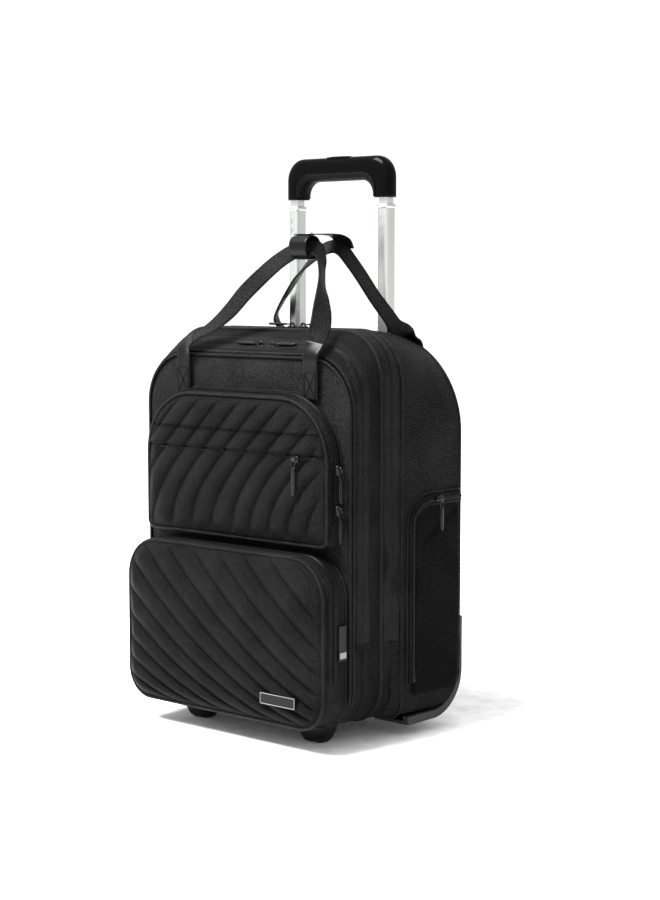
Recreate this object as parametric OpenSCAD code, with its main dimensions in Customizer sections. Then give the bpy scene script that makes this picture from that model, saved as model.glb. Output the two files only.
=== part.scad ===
// Soft-sided rolling case with a telescopic handle.
// Millimetres. +Z up, +Y towards the back, +X to the right of someone facing the front panel.
// The origin is on the floor, under the centre of the case's bounding box.

/* [Case] */
// Width across the sides
case_w = 330; // [320:1:340]
// Height of the front panel's top edge
front_h = 450; // [440:1:456]
// Height of the middle ring's top edge
middle_h = 478; // [472:1:482]
// Height of the back's top edge
back_h = 470; // [466:1:472]
// Height of the underside of the fabric shell
shell_base = 27.5; // [27:0.5:29]
// Thickness of the padded walls
wall = 3; // [2:0.5:4]
// Height at which the compartment zips end
zip_end = 122; // [110:1:140]

/* [Pockets] */
// Half width of the lower pocket
lower_half_w = 160; // [150:1:161]
// Height of the lower pocket's top edge
lower_top = 226; // [215:1:230]
// How far the lower pocket stands out of the front panel
lower_depth = 46; // [36:1:47]
// Half width of the upper pocket
upper_half_w = 152; // [145:1:153]
// Height of the upper pocket's top edge
upper_top = 410; // [400:1:415]
// How far the upper pocket stands out of the front panel
upper_depth = 24; // [18:1:26]
// How far a side pocket stands out of the side
side_depth = 6.5; // [6:0.5:8]

/* [Handle] */
// Distance from the centre to each tube's axis
tube_x = 73; // [70:1:74]
// Height of the middle tubes' top end as the handle stands
middle_tube_top = 629; // [620:1:632]
// Width of a middle tube across the case
tube_w = 17; // [17:0.5:17.5]
// Depth of a middle tube
tube_d = 18; // [18:0.5:18.5]
// Gap between one tube and the next
tube_gap = 0.4; // [0.3:0.1:0.5]
// Wall thickness of the tubes
tube_wall = 1.2; // [1:0.1:1.2]

/* [Wheels] */
// Radius of a wheel over its tyre
wheel_r = 27; // [25:0.5:27]
// Width of a tyre
wheel_w = 18; // [14:1:18]
// Distance from the centre to the middle of each wheel
wheel_x = 100; // [100:1:104]
// Radius of an axle
axle_r = 4; // [3:0.5:5]

/* [Straps] */
// Width of the webbing
strap_w = 25; // [23:1:26]
// Thickness of the webbing
strap_t = 2.4; // [2:0.1:2.6]

/* [Hidden] */
$fn = 32;

half_w = case_w / 2;
// Depths, from the front panel's face back
y_face = -79;
y_front_zip = y_face + 18;
y_ring = y_face + 50;
y_main_zip = y_face + 68;
y_seam = y_face + 87;
y_back = y_face + 202;
y_tube = y_face + 171.5;
part_gap = 0.4;
// Gap between a zip tape and the cloth under it
tape_lift = 0.01;
// Longer than any part, for cuts that go right through
through = 400;

// ---- outline of the soft shell at a depth -------------------------------------------------
widths = [[y_face, half_w - 1], [y_ring, half_w], [y_back, half_w]];
tops = [[y_face, front_h], [y_ring, middle_h], [y_main_zip, middle_h + 2], [y_seam, middle_h + 1],
    [y_back, back_h]];
top_radii = [[y_face, 60], [y_ring, 50], [y_main_zip, 52], [y_seam, 60], [y_back, 115]];
base_radii = [[y_face, 44], [y_ring, 42], [y_main_zip, 34], [y_seam, 16], [y_back, 10]];
base_steps = 6;
top_steps = 10;
side_mid_z = 230;

function arc(cx, cz, r, a0, a1, n) =
    [for (i = [0:n]) let (a = a0 + (a1 - a0) * i / n) [cx + r * cos(a), cz + r * sin(a)]];

function half_outline(y, off) =
    let (w = lookup(y, widths) + off, zt = lookup(y, tops) + off, zb = shell_base - off,
         rt = lookup(y, top_radii) + off, rb = lookup(y, base_radii) + off)
    concat(arc(w - rb, zb + rb, rb, -90, 0, base_steps), [[w, zip_end], [w, side_mid_z]],
           arc(w - rt, zt - rt, rt, 0, 90, top_steps));

function outline(y, off) =
    let (h = half_outline(y, off), n = len(h))
    concat(h, [for (i = [n - 1:-1:0]) [-h[i][0], h[i][1]]]);

outline_points = 2 * (base_steps + top_steps + 4);
zip_first = base_steps + 1;
zip_last = outline_points - 1 - zip_first;

// ---- sweeps -------------------------------------------------------------------------------
// A solid from rings of equal length, each ring one closed section; closed joins the last ring to the first.
module ring_sweep(rings, closed = false) {
    n = len(rings);
    m = len(rings[0]);
    points = [for (r = rings) for (p = r) p];
    last = closed ? n - 1 : n - 2;
    sides = [for (i = [0:last]) for (k = [0:m - 1])
        let (j = (k + 1) % m, next = ((i + 1) % n) * m)
        let (a = i * m + k, b = i * m + j, c = next + j, d = next + k)
        each [[a, b, c], [a, c, d]]];
    caps = closed ? [] : [[for (k = [m - 1:-1:0]) k], [for (k = [0:m - 1]) (n - 1) * m + k]];
    polyhedron(points = points, faces = concat(sides, caps), convexity = 10);
}

// Sweeps a section, a list of [depth, offset], round the shell's outline from one outline point to another.
module round_the_shell(section, first = 0, last = outline_points - 1, closed = true) {
    outlines = [for (s = section) outline(s[0], s[1])];
    ring_sweep([for (i = [last:-1:first]) [for (k = [0:len(section) - 1])
        [outlines[k][i][0], section[k][0], outlines[k][i][1]]]], closed);
}

module gusset(stations, thickness = wall) {
    outer = [for (y = stations) [y, 0]];
    inner = [for (i = [len(stations) - 1:-1:0]) [stations[i], -thickness]];
    round_the_shell(concat(outer, inner));
}

module zip_band(y0, y1, rise = 1) {
    round_the_shell([[y0, tape_lift], [y0, rise], [y1, rise], [y1, tape_lift]], zip_first, zip_last, false);
}

// A flat plate of the shell's outline at a depth, between two depths.
module outline_plate(y_outline, off, y0, y1) {
    translate([0, y1, 0]) rotate([90, 0, 0]) linear_extrude(y1 - y0) polygon(outline(y_outline, off));
}

module both_sides() {
    children();
    mirror([1, 0, 0]) children();
}

// A box with its corners rounded in X and Y.
module rounded_bar(w, d, h, r) {
    linear_extrude(h) union() {
        square([w - 2 * r, d], center = true);
        square([w, d - 2 * r], center = true);
        for (x = [-1, 1]) for (y = [-1, 1]) translate([x * (w / 2 - r), y * (d / 2 - r)]) circle(r);
    }
}

// ---- main compartment ---------------------------------------------------------------------
bezel_x = 88;
bezel_y0 = y_tube - 14;
bezel_y1 = y_tube + 14;
bezel_cut_z = 440;

module main_shell() {
    color("#161616") difference() {
        gusset([y_main_zip + part_gap, y_seam, y_face + 120, y_face + 160, y_back - wall]);
        translate([-bezel_x, bezel_y0, bezel_cut_z]) cube([2 * bezel_x, bezel_y1 - bezel_y0, through]);
        housing_space(0.2);
        back_corner(0.3);
    }
}

module back_panel() {
    color("#141414") difference() {
        outline_plate(y_back, 0, y_back - wall, y_back);
        housing_space(0.2);
        back_corner(0.3);
    }
}

lining_y = y_face + 147;

module compartment_lining() {
    color("#2b2b2d") outline_plate(lining_y, -wall - 0.6, lining_y, lining_y + 2);
}

// ---- base ---------------------------------------------------------------------------------
board_t = 3;
board_z = shell_base - 0.3 - board_t;
tray_t = 5;
tray_y0 = y_face + 103;
tray_outer_y = y_back + tray_t + 0.2;
tray_z0 = board_z - 9.5;
tray_r = 56;
tray_top = 133;
wheel_y = y_face + 181;
wheel_z = wheel_r;
housing_w = wheel_w + 8;
housing_top = wheel_z + wheel_r + 6;
housing_wall = 2.2;
housing_r = wheel_r + 3.5;

module base_board() {
    color("#1a1a1a") difference() {
        translate([0, (y_face + y_back) / 2, board_z])
            rounded_bar(2 * (half_w - 46), y_back - y_face - 4, board_t, 20);
        housing_space(0.2);
        back_corner(0.3);
    }
}

// The room that the two wheel housings take up, with a clearance round them.
module housing_space(clearance) {
    both_sides() translate([wheel_x - housing_w / 2 - clearance, wheel_y - housing_r - clearance, -1])
        cube([housing_w + 2 * clearance, through, housing_top + 1 + clearance]);
}

// An open-bottomed box over each wheel, with a hole through both walls for the axle.
module wheel_housings() {
    color("#1c1c1c") for (s = [-1, 1]) difference() {
        translate([s * wheel_x - housing_w / 2, wheel_y - housing_r, tray_z0])
            cube([housing_w, y_back - wall - 0.2 - wheel_y + housing_r, housing_top - tray_z0]);
        translate([s * wheel_x, wheel_y - housing_r + housing_wall, tray_z0 - 1])
            translate([-housing_w / 2 + housing_wall, 0, 0])
            cube([housing_w - 2 * housing_wall, through, housing_top - tray_z0 + 1 - housing_wall]);
        axle_at(s) cylinder(r = axle_r + 0.02, h = through, center = true);
        back_corner(0.5 - tray_t);
    }
}

arc_y = tray_outer_y - tray_r;
arc_z = tray_z0 + tray_r;

// Section of the tray in Y and Z: a thick floor that turns up the back in one round sweep.
module tray_section() {
    difference() {
        union() {
            translate([tray_y0, tray_z0]) square([arc_y - tray_y0, board_z - tray_z0]);
            intersection() {
                translate([arc_y, arc_z]) circle(tray_r, $fn = 96);
                translate([arc_y - 1, tray_z0]) square(tray_r + 1);
            }
            translate([y_back + 0.2, arc_z]) square([tray_t, tray_top - arc_z]);
        }
        translate([arc_y - 2, board_z]) square([2, through]);
        intersection() {
            translate([arc_y, arc_z]) circle(tray_r - tray_t, $fn = 96);
            translate([arc_y - 1, board_z]) square(through);
        }
        translate([arc_y - 1, arc_z]) square([y_back + 0.2 - arc_y + 1, through]);
    }
}

// What lies outside the tray's inner face at the back of the base.
module back_corner(clearance) {
    along_x(-through / 2, through / 2) difference() {
        translate([arc_y, arc_z - through]) square(through);
        translate([arc_y, arc_z]) circle(tray_r - tray_t - clearance, $fn = 96);
    }
}

module along_x(x0, x1) {
    translate([x0, 0, 0]) rotate([90, 0, 90]) linear_extrude(x1 - x0) children();
}

module wheel_base_tray() {
    color("#202020") difference() {
        along_x(-half_w - 1, half_w + 1) tray_section();
        housing_space(0.1);
    }
}

foot_x = 95;
foot_y = y_face + 21;
foot_w = 48;
foot_d = 34;
rivet_r = 3;

module front_feet() {
    color("#1c1c1c") for (s = [-1, 1]) translate([s * foot_x, foot_y, 0]) difference() {
        hull() {
            translate([0, 0, board_z - 2]) rounded_bar(foot_w, foot_d, 1.9, 8);
            translate([0, 0, 6]) rounded_bar(foot_w - 12, foot_d - 8, 1, 8);
            rounded_bar(foot_w - 22, foot_d - 16, 1, 6);
        }
        translate([0, 0, board_z - 5]) cylinder(r = rivet_r + 0.05, h = 10);
    }
}

module base_rivets() {
    color("#707070") for (s = [-1, 1]) translate([s * foot_x, foot_y, board_z - 5])
        cylinder(r = rivet_r, h = 4.8);
}

// ---- wheels -------------------------------------------------------------------------------
hub_r = 17;
hub_clear = 0.05;
// Radius of the tyre's shoulders
tread_r = 3;

module axle_at(side) {
    translate([side * wheel_x, wheel_y, wheel_z]) rotate([0, 90, 0]) children();
}

module wheel_axles() {
    color("#9a9a9a") for (s = [-1, 1]) axle_at(s) cylinder(r = axle_r, h = housing_w - 0.2, center = true);
}

module tyre(side) {
    color("#262626") axle_at(side) rotate_extrude($fn = 64) difference() {
        union() {
            translate([hub_r, -wheel_w / 2 + tread_r]) square([wheel_r - hub_r, wheel_w - 2 * tread_r]);
            translate([hub_r, -wheel_w / 2]) square([wheel_r - hub_r - tread_r, wheel_w]);
            for (e = [-1, 1]) translate([wheel_r - tread_r, e * (wheel_w / 2 - tread_r)]) circle(tread_r);
        }
        translate([0, -wheel_w]) square([hub_r + hub_clear, 2 * wheel_w]);
    }
}

module hub(side) {
    color("#5a5a5c") axle_at(side) difference() {
        cylinder(r = hub_r, h = wheel_w - 2, center = true, $fn = 64);
        cylinder(r = axle_r + hub_clear, h = wheel_w + 2, center = true);
        for (e = [-1, 1]) translate([0, 0, e * (wheel_w / 2 + 2)]) difference() {
            cylinder(r = hub_r - 3, h = 8, center = true);
            cylinder(r = axle_r + 4, h = 9, center = true);
        }
    }
}

// ---- side pockets -------------------------------------------------------------------------
pocket_y0 = y_face + 97;
pocket_y1 = y_back - 3;
pocket_z0 = 42;
pocket_z1 = 290;
pocket_r = 34;
tape_w = 17;

module side_outline(inset) {
    r = pocket_r - inset;
    union() {
        translate([pocket_y0 + inset, pocket_z0 + inset + 20])
            square([pocket_y1 - pocket_y0 - 2 * inset, pocket_z1 - pocket_r - pocket_z0 - 20 - inset]);
        translate([pocket_y0 + inset + r, pocket_z1 - pocket_r - 1])
            square([pocket_y1 - pocket_y0 - 2 * inset - r, pocket_r + 1 - inset]);
        translate([pocket_y0 + inset + r, pocket_z1 - inset - r]) circle(r, $fn = 48);
        translate([pocket_y0 + inset + 20, pocket_z0 + inset + 20]) circle(20, $fn = 48);
        translate([pocket_y1 - inset - 20, pocket_z0 + inset + 20]) circle(20, $fn = 48);
        translate([pocket_y0 + inset + 20, pocket_z0 + inset])
            square([pocket_y1 - pocket_y0 - 2 * inset - 40, 21]);
    }
}

module side_pockets() {
    color("#171717") both_sides() difference() {
        along_x(half_w + 0.05, half_w + side_depth) side_outline(0);
        along_x(half_w, half_w + side_depth - 1.2) side_outline(3);
        back_corner(0.3);
    }
}

module side_zip_tapes() {
    color("#232323") both_sides() along_x(half_w + side_depth, half_w + side_depth + 1) difference() {
        side_outline(1);
        side_outline(tape_w);
        translate([pocket_y1 - tape_w - 20, 0]) square([through, pocket_z1 - tape_w]);
        translate([0, pocket_z0 - 1]) square([through, 24]);
    }
}

// ---- middle ring: laptop compartment ------------------------------------------------------
divider_y = y_face + 62;
sleeve_half_w = 140;
sleeve_z0 = 36;

module middle_gusset() {
    color("#181818") gusset([y_front_zip + part_gap, y_face + 34, y_ring, y_main_zip - part_gap]);
}

module divider_wall() {
    color("#2b2b2d") outline_plate(divider_y, -wall - 0.3, divider_y, divider_y + 3);
}

module laptop_sleeve() {
    color("#303033") difference() {
        translate([-sleeve_half_w, divider_y - 9.1, sleeve_z0]) cube([2 * sleeve_half_w, 9, 250]);
        translate([-sleeve_half_w + wall, divider_y - 7.1, sleeve_z0 + 4])
            cube([2 * (sleeve_half_w - wall), 6, through]);
    }
}

// ---- front panel --------------------------------------------------------------------------
module front_gusset() {
    color("#181818") gusset([y_face + wall, y_front_zip - part_gap]);
}

module front_face() {
    color("#1b1b1b") outline_plate(y_face, 0, y_face, y_face + wall);
}

module pocket_outline(half_width, z0, z1, r_top, r_base, inset) {
    w = half_width - inset;
    zb = z0 + inset + r_base;
    zt = z1 - inset - r_top;
    polygon(concat(arc(w - r_base, zb, r_base, -90, 0, 6), arc(w - r_top, zt, r_top, 0, 90, 8),
        arc(-w + r_top, zt, r_top, 90, 180, 8), arc(-w + r_base, zb, r_base, 180, 270, 6)));
}

// A pocket: a face and its gusset, open towards the front panel that closes its back.
module pocket(half_width, z0, z1, r_top, r_base, depth) {
    translate([0, y_face - 0.05, 0]) rotate([90, 0, 0]) difference() {
        linear_extrude(depth) pocket_outline(half_width, z0, z1, r_top, r_base, 0);
        translate([0, 0, -1]) linear_extrude(depth + 1 - wall)
            pocket_outline(half_width, z0, z1, r_top, r_base, wall);
    }
}

lower_z0 = 31;
lower_r_top = 44;
lower_r_base = 48;
upper_z0 = 238;
upper_r_top = 76;
upper_r_base = 10;

module lower_pocket() {
    color("#1b1b1b") pocket(lower_half_w, lower_z0, lower_top, lower_r_top, lower_r_base, lower_depth);
}

module upper_pocket() {
    color("#1b1b1b") pocket(upper_half_w, upper_z0, upper_top, upper_r_top, upper_r_base, upper_depth);
}

// A band of zip tape round a pocket's gusset, from a height on one side over the top to the other side.
module pocket_tape(half_width, z0, z1, r_top, r_base, y0, y1, from_z) {
    translate([0, y1, 0]) rotate([90, 0, 0]) linear_extrude(y1 - y0) difference() {
        pocket_outline(half_width, z0, z1, r_top, r_base, -1);
        pocket_outline(half_width, z0, z1, r_top, r_base, -tape_lift);
        translate([-through, from_z - through]) square([2 * through, through]);
    }
}

flap_z = 341;
flap_tape_w = 9;
flap_half_w = 134;
lower_tape_y0 = y_face - lower_depth + 12;
lower_tape_y1 = lower_tape_y0 + 22;
upper_tape_y0 = y_face - upper_depth + 8;
upper_tape_y1 = y_face - 2;
// Heights at which the two pockets' zips end
lower_zip_end = 84;
upper_zip_end = 262;

module front_zip_tapes() {
    color("#232323") {
        zip_band(y_face + 4, y_front_zip - part_gap);
        pocket_tape(lower_half_w, lower_z0, lower_top, lower_r_top, lower_r_base,
            lower_tape_y0, lower_tape_y1, lower_zip_end);
        pocket_tape(upper_half_w, upper_z0, upper_top, upper_r_top, upper_r_base,
            upper_tape_y0, upper_tape_y1, upper_zip_end);
        translate([-flap_half_w, y_face - upper_depth - 1.1, flap_z - flap_tape_w])
            cube([2 * flap_half_w, 1, flap_tape_w]);
    }
}

module middle_zip_tapes() {
    color("#232323") {
        zip_band(y_front_zip + part_gap, y_face + 33);
        zip_band(y_ring + 4, y_main_zip - part_gap);
    }
}

module main_zip_tape() {
    color("#232323") zip_band(y_main_zip + part_gap, y_seam - 2);
}

badge_x = 72;
badge_z = 54;
tag_z = 108;
label_t = 1.2;

module labels() {
    color("#101010") {
        translate([badge_x, y_face - lower_depth - 0.1 - label_t, badge_z]) cube([55, label_t, 14]);
        translate([lower_half_w + 0.1, y_face - 9, tag_z]) cube([label_t, 8.5, 42]);
    }
}

// ---- straps -------------------------------------------------------------------------------
front_anchor_x = [-98, 109];
rear_anchor_x = [-98, 98];
front_anchor_z = 411.5;
rear_anchor_z = 400;
anchor_h = 35.5;
anchor_t = 3;

function unit(v) = v / norm(v);
function spline(a, b, c, d, t) =
    0.5 * (2 * b + (c - a) * t + (2 * a - 5 * b + 4 * c - d) * t * t + (3 * b - a - 3 * c + d) * t * t * t);
function smooth_path(p, steps) =
    let (n = len(p))
    concat([for (i = [0:n - 2]) for (s = [0:steps - 1])
        spline(p[max(i - 1, 0)], p[i], p[i + 1], p[min(i + 2, n - 1)], s / steps)], [p[n - 1]]);

// Webbing along a route: each stop is its place and the direction of the webbing's width there.
module webbing(stops, width, thickness, steps = 3) {
    line = smooth_path([for (s = stops) s[0]], steps);
    across = smooth_path([for (s = stops) s[1]], steps);
    n = len(line);
    ring_sweep([for (i = [0:n - 1])
        let (along = unit(line[min(i + 1, n - 1)] - line[max(i - 1, 0)]),
             normal = unit(cross(along, across[i])), wide = unit(cross(normal, along)),
             w = wide * width / 2, t = normal * thickness / 2, p = line[i])
        [p + w + t, p - w + t, p - w - t, p + w - t]]);
}

// Routes, with the depth counted from the front panel's face.
function placed(stops) = [for (s = stops) [s[0] + [0, y_face, 0], s[1]]];

front_route = placed([
    [[-98, -6, 452], [-1, 0, 0]], [[-98, -6, 457.5], [-1, 0, 0]], [[-93, -4, 464], [-0.85, 0.35, 0.2]],
    [[-80, 1.5, 471], [-0.75, 0.5, 0.3]], [[-61, 9, 483], [-0.8, 0.3, 0.5]],
    [[-41, 17, 503], [-0.8, 0.1, 0.55]], [[-21, 26, 527], [-0.8, 0.1, 0.55]],
    [[10, 38, 555], [-0.75, 0.2, 0.6]], [[30, 48, 569], [-0.5, 0.4, 0.75]],
    [[47, 53, 575], [-0.4, 0.5, 0.75]],
    [[62, 55, 574], [-0.35, 0.5, 0.7]], [[70, 54, 566], [-0.3, 0.8, 0.2]],
    [[78, 48, 554], [-0.35, 0.8, -0.3]], [[87, 39, 537], [-0.3, 0.75, -0.5]],
    [[96, 30, 521], [0, 0.9, -0.4]], [[104, 20, 503], [0.4, 0.85, -0.3]],
    [[109, 11, 485], [0.6, 0.7, -0.2]], [[110.5, 1, 467], [0.95, 0.2, -0.1]], [[109, -6, 457.5], [1, 0, 0]],
    [[109, -6, 452], [1, 0, 0]]]);

rear_route = placed([
    [[-98, 204.8, 440], [-1, 0, 0]], [[-98, 204.8, 455], [-1, 0, -0.05]],
    [[-98.5, 201, 466], [-0.95, 0, -0.3]], [[-99.5, 194, 469.5], [-0.93, 0.1, -0.36]],
    [[-102, 182, 475], [-0.85, 0.35, 0]], [[-101.5, 169, 483.5], [-0.6, 0.6, 0.3]], [[-96.5, 158, 493], [-0.4, 0.7, 0.5]],
    [[-80, 147, 509], [-0.2, 0.65, 0.7]], [[-59, 139, 526], [-0.2, 0.7, 0.65]],
    [[-31, 128, 546], [-0.2, 0.7, 0.65]], [[-3, 118, 564], [-0.2, 0.6, 0.75]],
    [[20, 112, 574], [-0.1, 0.55, 0.8]], [[41, 110, 577], [0, 0.55, 0.83]], [[56, 113, 573], [0.4, 0.3, 0.8]],
    [[66, 121, 562], [0.65, 0.1, 0.7]], [[77, 134, 542], [0.75, 0.05, 0.65]],
    [[87, 150, 516], [0.6, 0.45, 0.6]], [[95, 166, 493], [0.5, 0.65, 0.4]],
    [[101, 181, 477], [0.8, 0.45, 0]], [[99.5, 194, 469.5], [0.93, 0.1, -0.36]],
    [[98.5, 201, 466], [0.95, 0, -0.3]], [[98, 204.8, 455], [1, 0, -0.05]], [[98, 204.8, 440], [1, 0, 0]]]);

module front_strap() {
    color("#141414") webbing(front_route, strap_w, strap_t);
}

module rear_strap() {
    color("#141414") webbing(rear_route, strap_w, strap_t);
}

// The end of a strap, folded flat and sewn down under a leather patch.
module sewn_end(x, y0, z0) {
    translate([x - strap_w / 2 - 1, y0, z0]) cube([strap_w + 2, anchor_t, anchor_h]);
}

module front_strap_anchors() {
    color("#1e1e1e") for (x = front_anchor_x) sewn_end(x, y_face - 0.05 - anchor_t, front_anchor_z);
}

module rear_strap_anchors() {
    color("#1e1e1e") for (x = rear_anchor_x) sewn_end(x, y_back + 0.05, rear_anchor_z);
}

// The wrap: a loop of webbing round the front strap, with a tail that lies over the rear strap.
wrap_x = 47;
wrap_w = 28;
wrap_t = 1.6;
wrap_y = y_face + 52;
wrap_z = 573.5;
wrap_d = 30;
wrap_h = 38;
wrap_tail = 70;
wrap_r = 9;
snap_r = 5;

module rounded_rect(w, h, r) {
    square([w - 2 * r, h], center = true);
    square([w, h - 2 * r], center = true);
    for (x = [-1, 1]) for (y = [-1, 1]) translate([x * (w / 2 - r), y * (h / 2 - r)]) circle(r);
}

module strap_wrap() {
    color("#101010") along_x(wrap_x - wrap_w / 2, wrap_x + wrap_w / 2) union() {
        translate([wrap_y, wrap_z]) difference() {
            rounded_rect(wrap_d, wrap_h, wrap_r);
            rounded_rect(wrap_d - 2 * wrap_t, wrap_h - 2 * wrap_t, wrap_r - wrap_t);
        }
        translate([wrap_y - 1, wrap_z + wrap_h / 2 - wrap_t]) rotate(-2) square([wrap_tail, wrap_t]);
    }
    color("#a0a0a0") translate([wrap_x, wrap_y + wrap_d / 2 + 0.1, wrap_z - 8]) rotate([-90, 0, 0])
        cylinder(r = snap_r, h = 2);
}

// ---- telescopic handle --------------------------------------------------------------------
inner_w = tube_w - 2 * tube_wall - 2 * tube_gap;
inner_d = tube_d - 2 * tube_wall - 2 * tube_gap;
outer_w = tube_w + 2 * tube_wall + 2 * tube_gap;
outer_d = tube_d + 2 * tube_wall + 2 * tube_gap;
tube_r = 5;
outer_z0 = shell_base + wall + 6;
outer_top = 465;
middle_len = 400;
inner_len = 384;
inner_z0 = middle_tube_top - inner_len + 4;
grip_z0 = middle_tube_top + 10;
inner_top = grip_z0 + 14;

module at_tubes() {
    for (s = [-1, 1]) translate([s * tube_x, y_tube, 0]) children();
}

module tube(w, d, z0, z1, r) {
    translate([0, 0, z0]) difference() {
        rounded_bar(w, d, z1 - z0, r);
        translate([0, 0, -1]) rounded_bar(w - 2 * tube_wall, d - 2 * tube_wall, z1 - z0 + 2, r - tube_wall);
    }
}

module outer_tubes() {
    color("#8d8f92") at_tubes() tube(outer_w, outer_d, outer_z0, outer_top, tube_r + tube_gap + tube_wall);
}

module tube_base_bracket() {
    color("#202020") translate([0, y_tube, shell_base + wall + 0.2]) difference() {
        rounded_bar(2 * tube_x + outer_w + 5, outer_d + 10, 24, 6);
        for (s = [-1, 1]) translate([s * tube_x, 0, outer_z0 - shell_base - wall - 0.2])
            rounded_bar(outer_w + 0.1, outer_d + 0.1, 40, tube_r + tube_gap + tube_wall);
        translate([0, -y_tube, -shell_base - wall - 0.2]) back_corner(0.5);
    }
}

module handle_bezel() {
    color("#1c1c1c") difference() {
        union() {
            translate([0, y_tube, outer_top])
                rounded_bar(2 * bezel_x - 0.4, bezel_y1 - bezel_y0 - 0.4, 7.5, 8);
            translate([0, y_tube, outer_top - 12])
                rounded_bar(2 * bezel_x - 10, bezel_y1 - bezel_y0 - 4, 12.1, 6);
        }
        at_tubes() translate([0, 0, outer_top - 20])
            rounded_bar(outer_w + 0.1, outer_d + 0.1, 20, tube_r + tube_gap + tube_wall);
        at_tubes() translate([0, 0, outer_top - 1])
            rounded_bar(tube_w + 2 * tube_gap, tube_d + 2 * tube_gap, 20, tube_r + tube_gap);
    }
}

dimple = 5.5;

module middle_tubes() {
    color("#c9cccb") at_tubes() difference() {
        tube(tube_w, tube_d, middle_tube_top - middle_len, middle_tube_top, tube_r);
        for (z = [13, 26]) translate([-dimple / 2, -tube_d / 2 - 1, middle_tube_top - z - dimple])
            cube([dimple, 1.5, dimple]);
    }
}

module middle_tube_bushes() {
    color("#e2e2e0") at_tubes() translate([0, 0, middle_tube_top + 0.05]) difference() {
        rounded_bar(tube_w, tube_d, 2, tube_r);
        translate([0, 0, -1]) rounded_bar(inner_w + 0.3, inner_d + 0.3, 4, tube_r - tube_wall);
    }
}

module inner_tubes() {
    color("#c4c7c6") difference() {
        at_tubes() tube(inner_w, inner_d, inner_z0, inner_top, tube_r - tube_wall - tube_gap);
        for (s = [-1, 1]) translate([s * tube_x, y_tube, pin_z]) rotate([0, s * 90, 0])
            cylinder(r = pin_r + 0.1, h = 20);
    }
}

block_h = 26;
pin_z = inner_z0 + 12;
pin_r = 2.6;
rod_r = 2.2;

module lock_blocks() {
    inside = -2 * tube_wall - 0.1;
    color("#d8d8d4") at_tubes() difference() {
        translate([0, 0, inner_z0 + 1])
            rounded_bar(inner_w + inside, inner_d + inside, block_h, tube_r - 2 * tube_wall - tube_gap);
        translate([0, 0, pin_z]) rotate([0, 90, 0]) cylinder(r = pin_r + 0.05, h = 40, center = true);
        translate([0, 0, inner_z0 + 18]) cylinder(r = rod_r + 0.3, h = 40);
    }
}

module lock_pin(side) {
    color("#8a8a8a") translate([side * tube_x, y_tube, pin_z]) rotate([0, side * 90, 0])
        translate([0, 0, -1]) cylinder(r = pin_r, h = inner_w / 2 + 0.8);
}

grip_y = y_tube;
grip_half_w = tube_x + 11;
grip_d = 23;
sleeve_h = 20;
bar_z0 = grip_z0 + sleeve_h;
bar_z1 = grip_z0 + 51;
grip_split = bar_z0 + 12;
button_w = 34;
button_d = 14;
button_travel = 4;
// Radii of the grip's outer shoulders and of the corners under the bar
shoulder = 24;
armpit_r = 8;

// Side view of the grip in X and Z: two sleeves and a bar with rounded shoulders.
module grip_front_outline() {
    inner_half = grip_half_w - 22;
    difference() {
        union() {
            translate([-grip_half_w, grip_z0]) square([2 * grip_half_w, bar_z1 - shoulder - grip_z0]);
            translate([-grip_half_w + shoulder, bar_z1 - shoulder - 1])
                square([2 * (grip_half_w - shoulder), shoulder + 1]);
            for (s = [-1, 1]) translate([s * (grip_half_w - shoulder), bar_z1 - shoulder])
                circle(shoulder, $fn = 64);
        }
        translate([-inner_half + armpit_r, grip_z0 - 1]) square([2 * (inner_half - armpit_r), sleeve_h + 1]);
        translate([-inner_half, grip_z0 - 1]) square([2 * inner_half, sleeve_h + 1 - armpit_r]);
        for (s = [-1, 1]) translate([s * (inner_half - armpit_r), bar_z0 - armpit_r]) circle(armpit_r);
    }
}

module grip_body() {
    difference() {
        translate([0, grip_y + grip_d / 2, 0]) rotate([90, 0, 0]) linear_extrude(grip_d) grip_front_outline();
        at_tubes() translate([0, 0, grip_z0 - 1])
            rounded_bar(inner_w + 0.1, inner_d + 0.1, inner_top - grip_z0 + 1, tube_r - tube_wall - tube_gap);
        translate([-grip_half_w + 9, grip_y - 5, grip_split - 5]) cube([2 * (grip_half_w - 9), 10, 10]);
        at_tubes() translate([0, 0, inner_top - 1]) cylinder(r = rod_r + 0.8, h = grip_split - inner_top + 6);
        translate([0, grip_y, grip_split]) rounded_bar(button_w + 0.6, button_d + 0.6, through, 5);
    }
}

module grip_upper() {
    color("#151515") intersection() {
        grip_body();
        translate([-through / 2, grip_y - through / 2, grip_split + 0.05]) cube(through);
    }
}

module grip_lower() {
    color("#1a1a1a") intersection() {
        grip_body();
        translate([-through / 2, grip_y - through / 2, grip_split - 0.05 - through]) cube(through);
    }
}

module release_button() {
    color("#1e1e1e") translate([0, grip_y, grip_split + 4.5])
        rounded_bar(button_w, button_d, bar_z1 - grip_split - 3.5, 5);
}

// A crossbar in the grip and a rod down each inner tube.
module push_rods() {
    color("#b0b0b0") union() {
        translate([-tube_x - 2, grip_y - 2, grip_split + 0.5]) cube([2 * tube_x + 4, 4, 3.9]);
        at_tubes() translate([0, 0, inner_z0 + 20 + button_travel])
            cylinder(r = rod_r, h = grip_split + 1 - inner_z0 - 20 - button_travel);
    }
}

// ---- zip sliders and pulls ----------------------------------------------------------------
slider_l = 11;
slider_w = 8;
slider_h = 3.4;
crown_r = 2;
bar_r = 0.9;
pull_l = 38;
// Thickness of the crown, room round the bar in it, and half the distance between the link's two sides
crown_t = 1.6;
bar_clear = 0.6;
link_y = 2.6;

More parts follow.
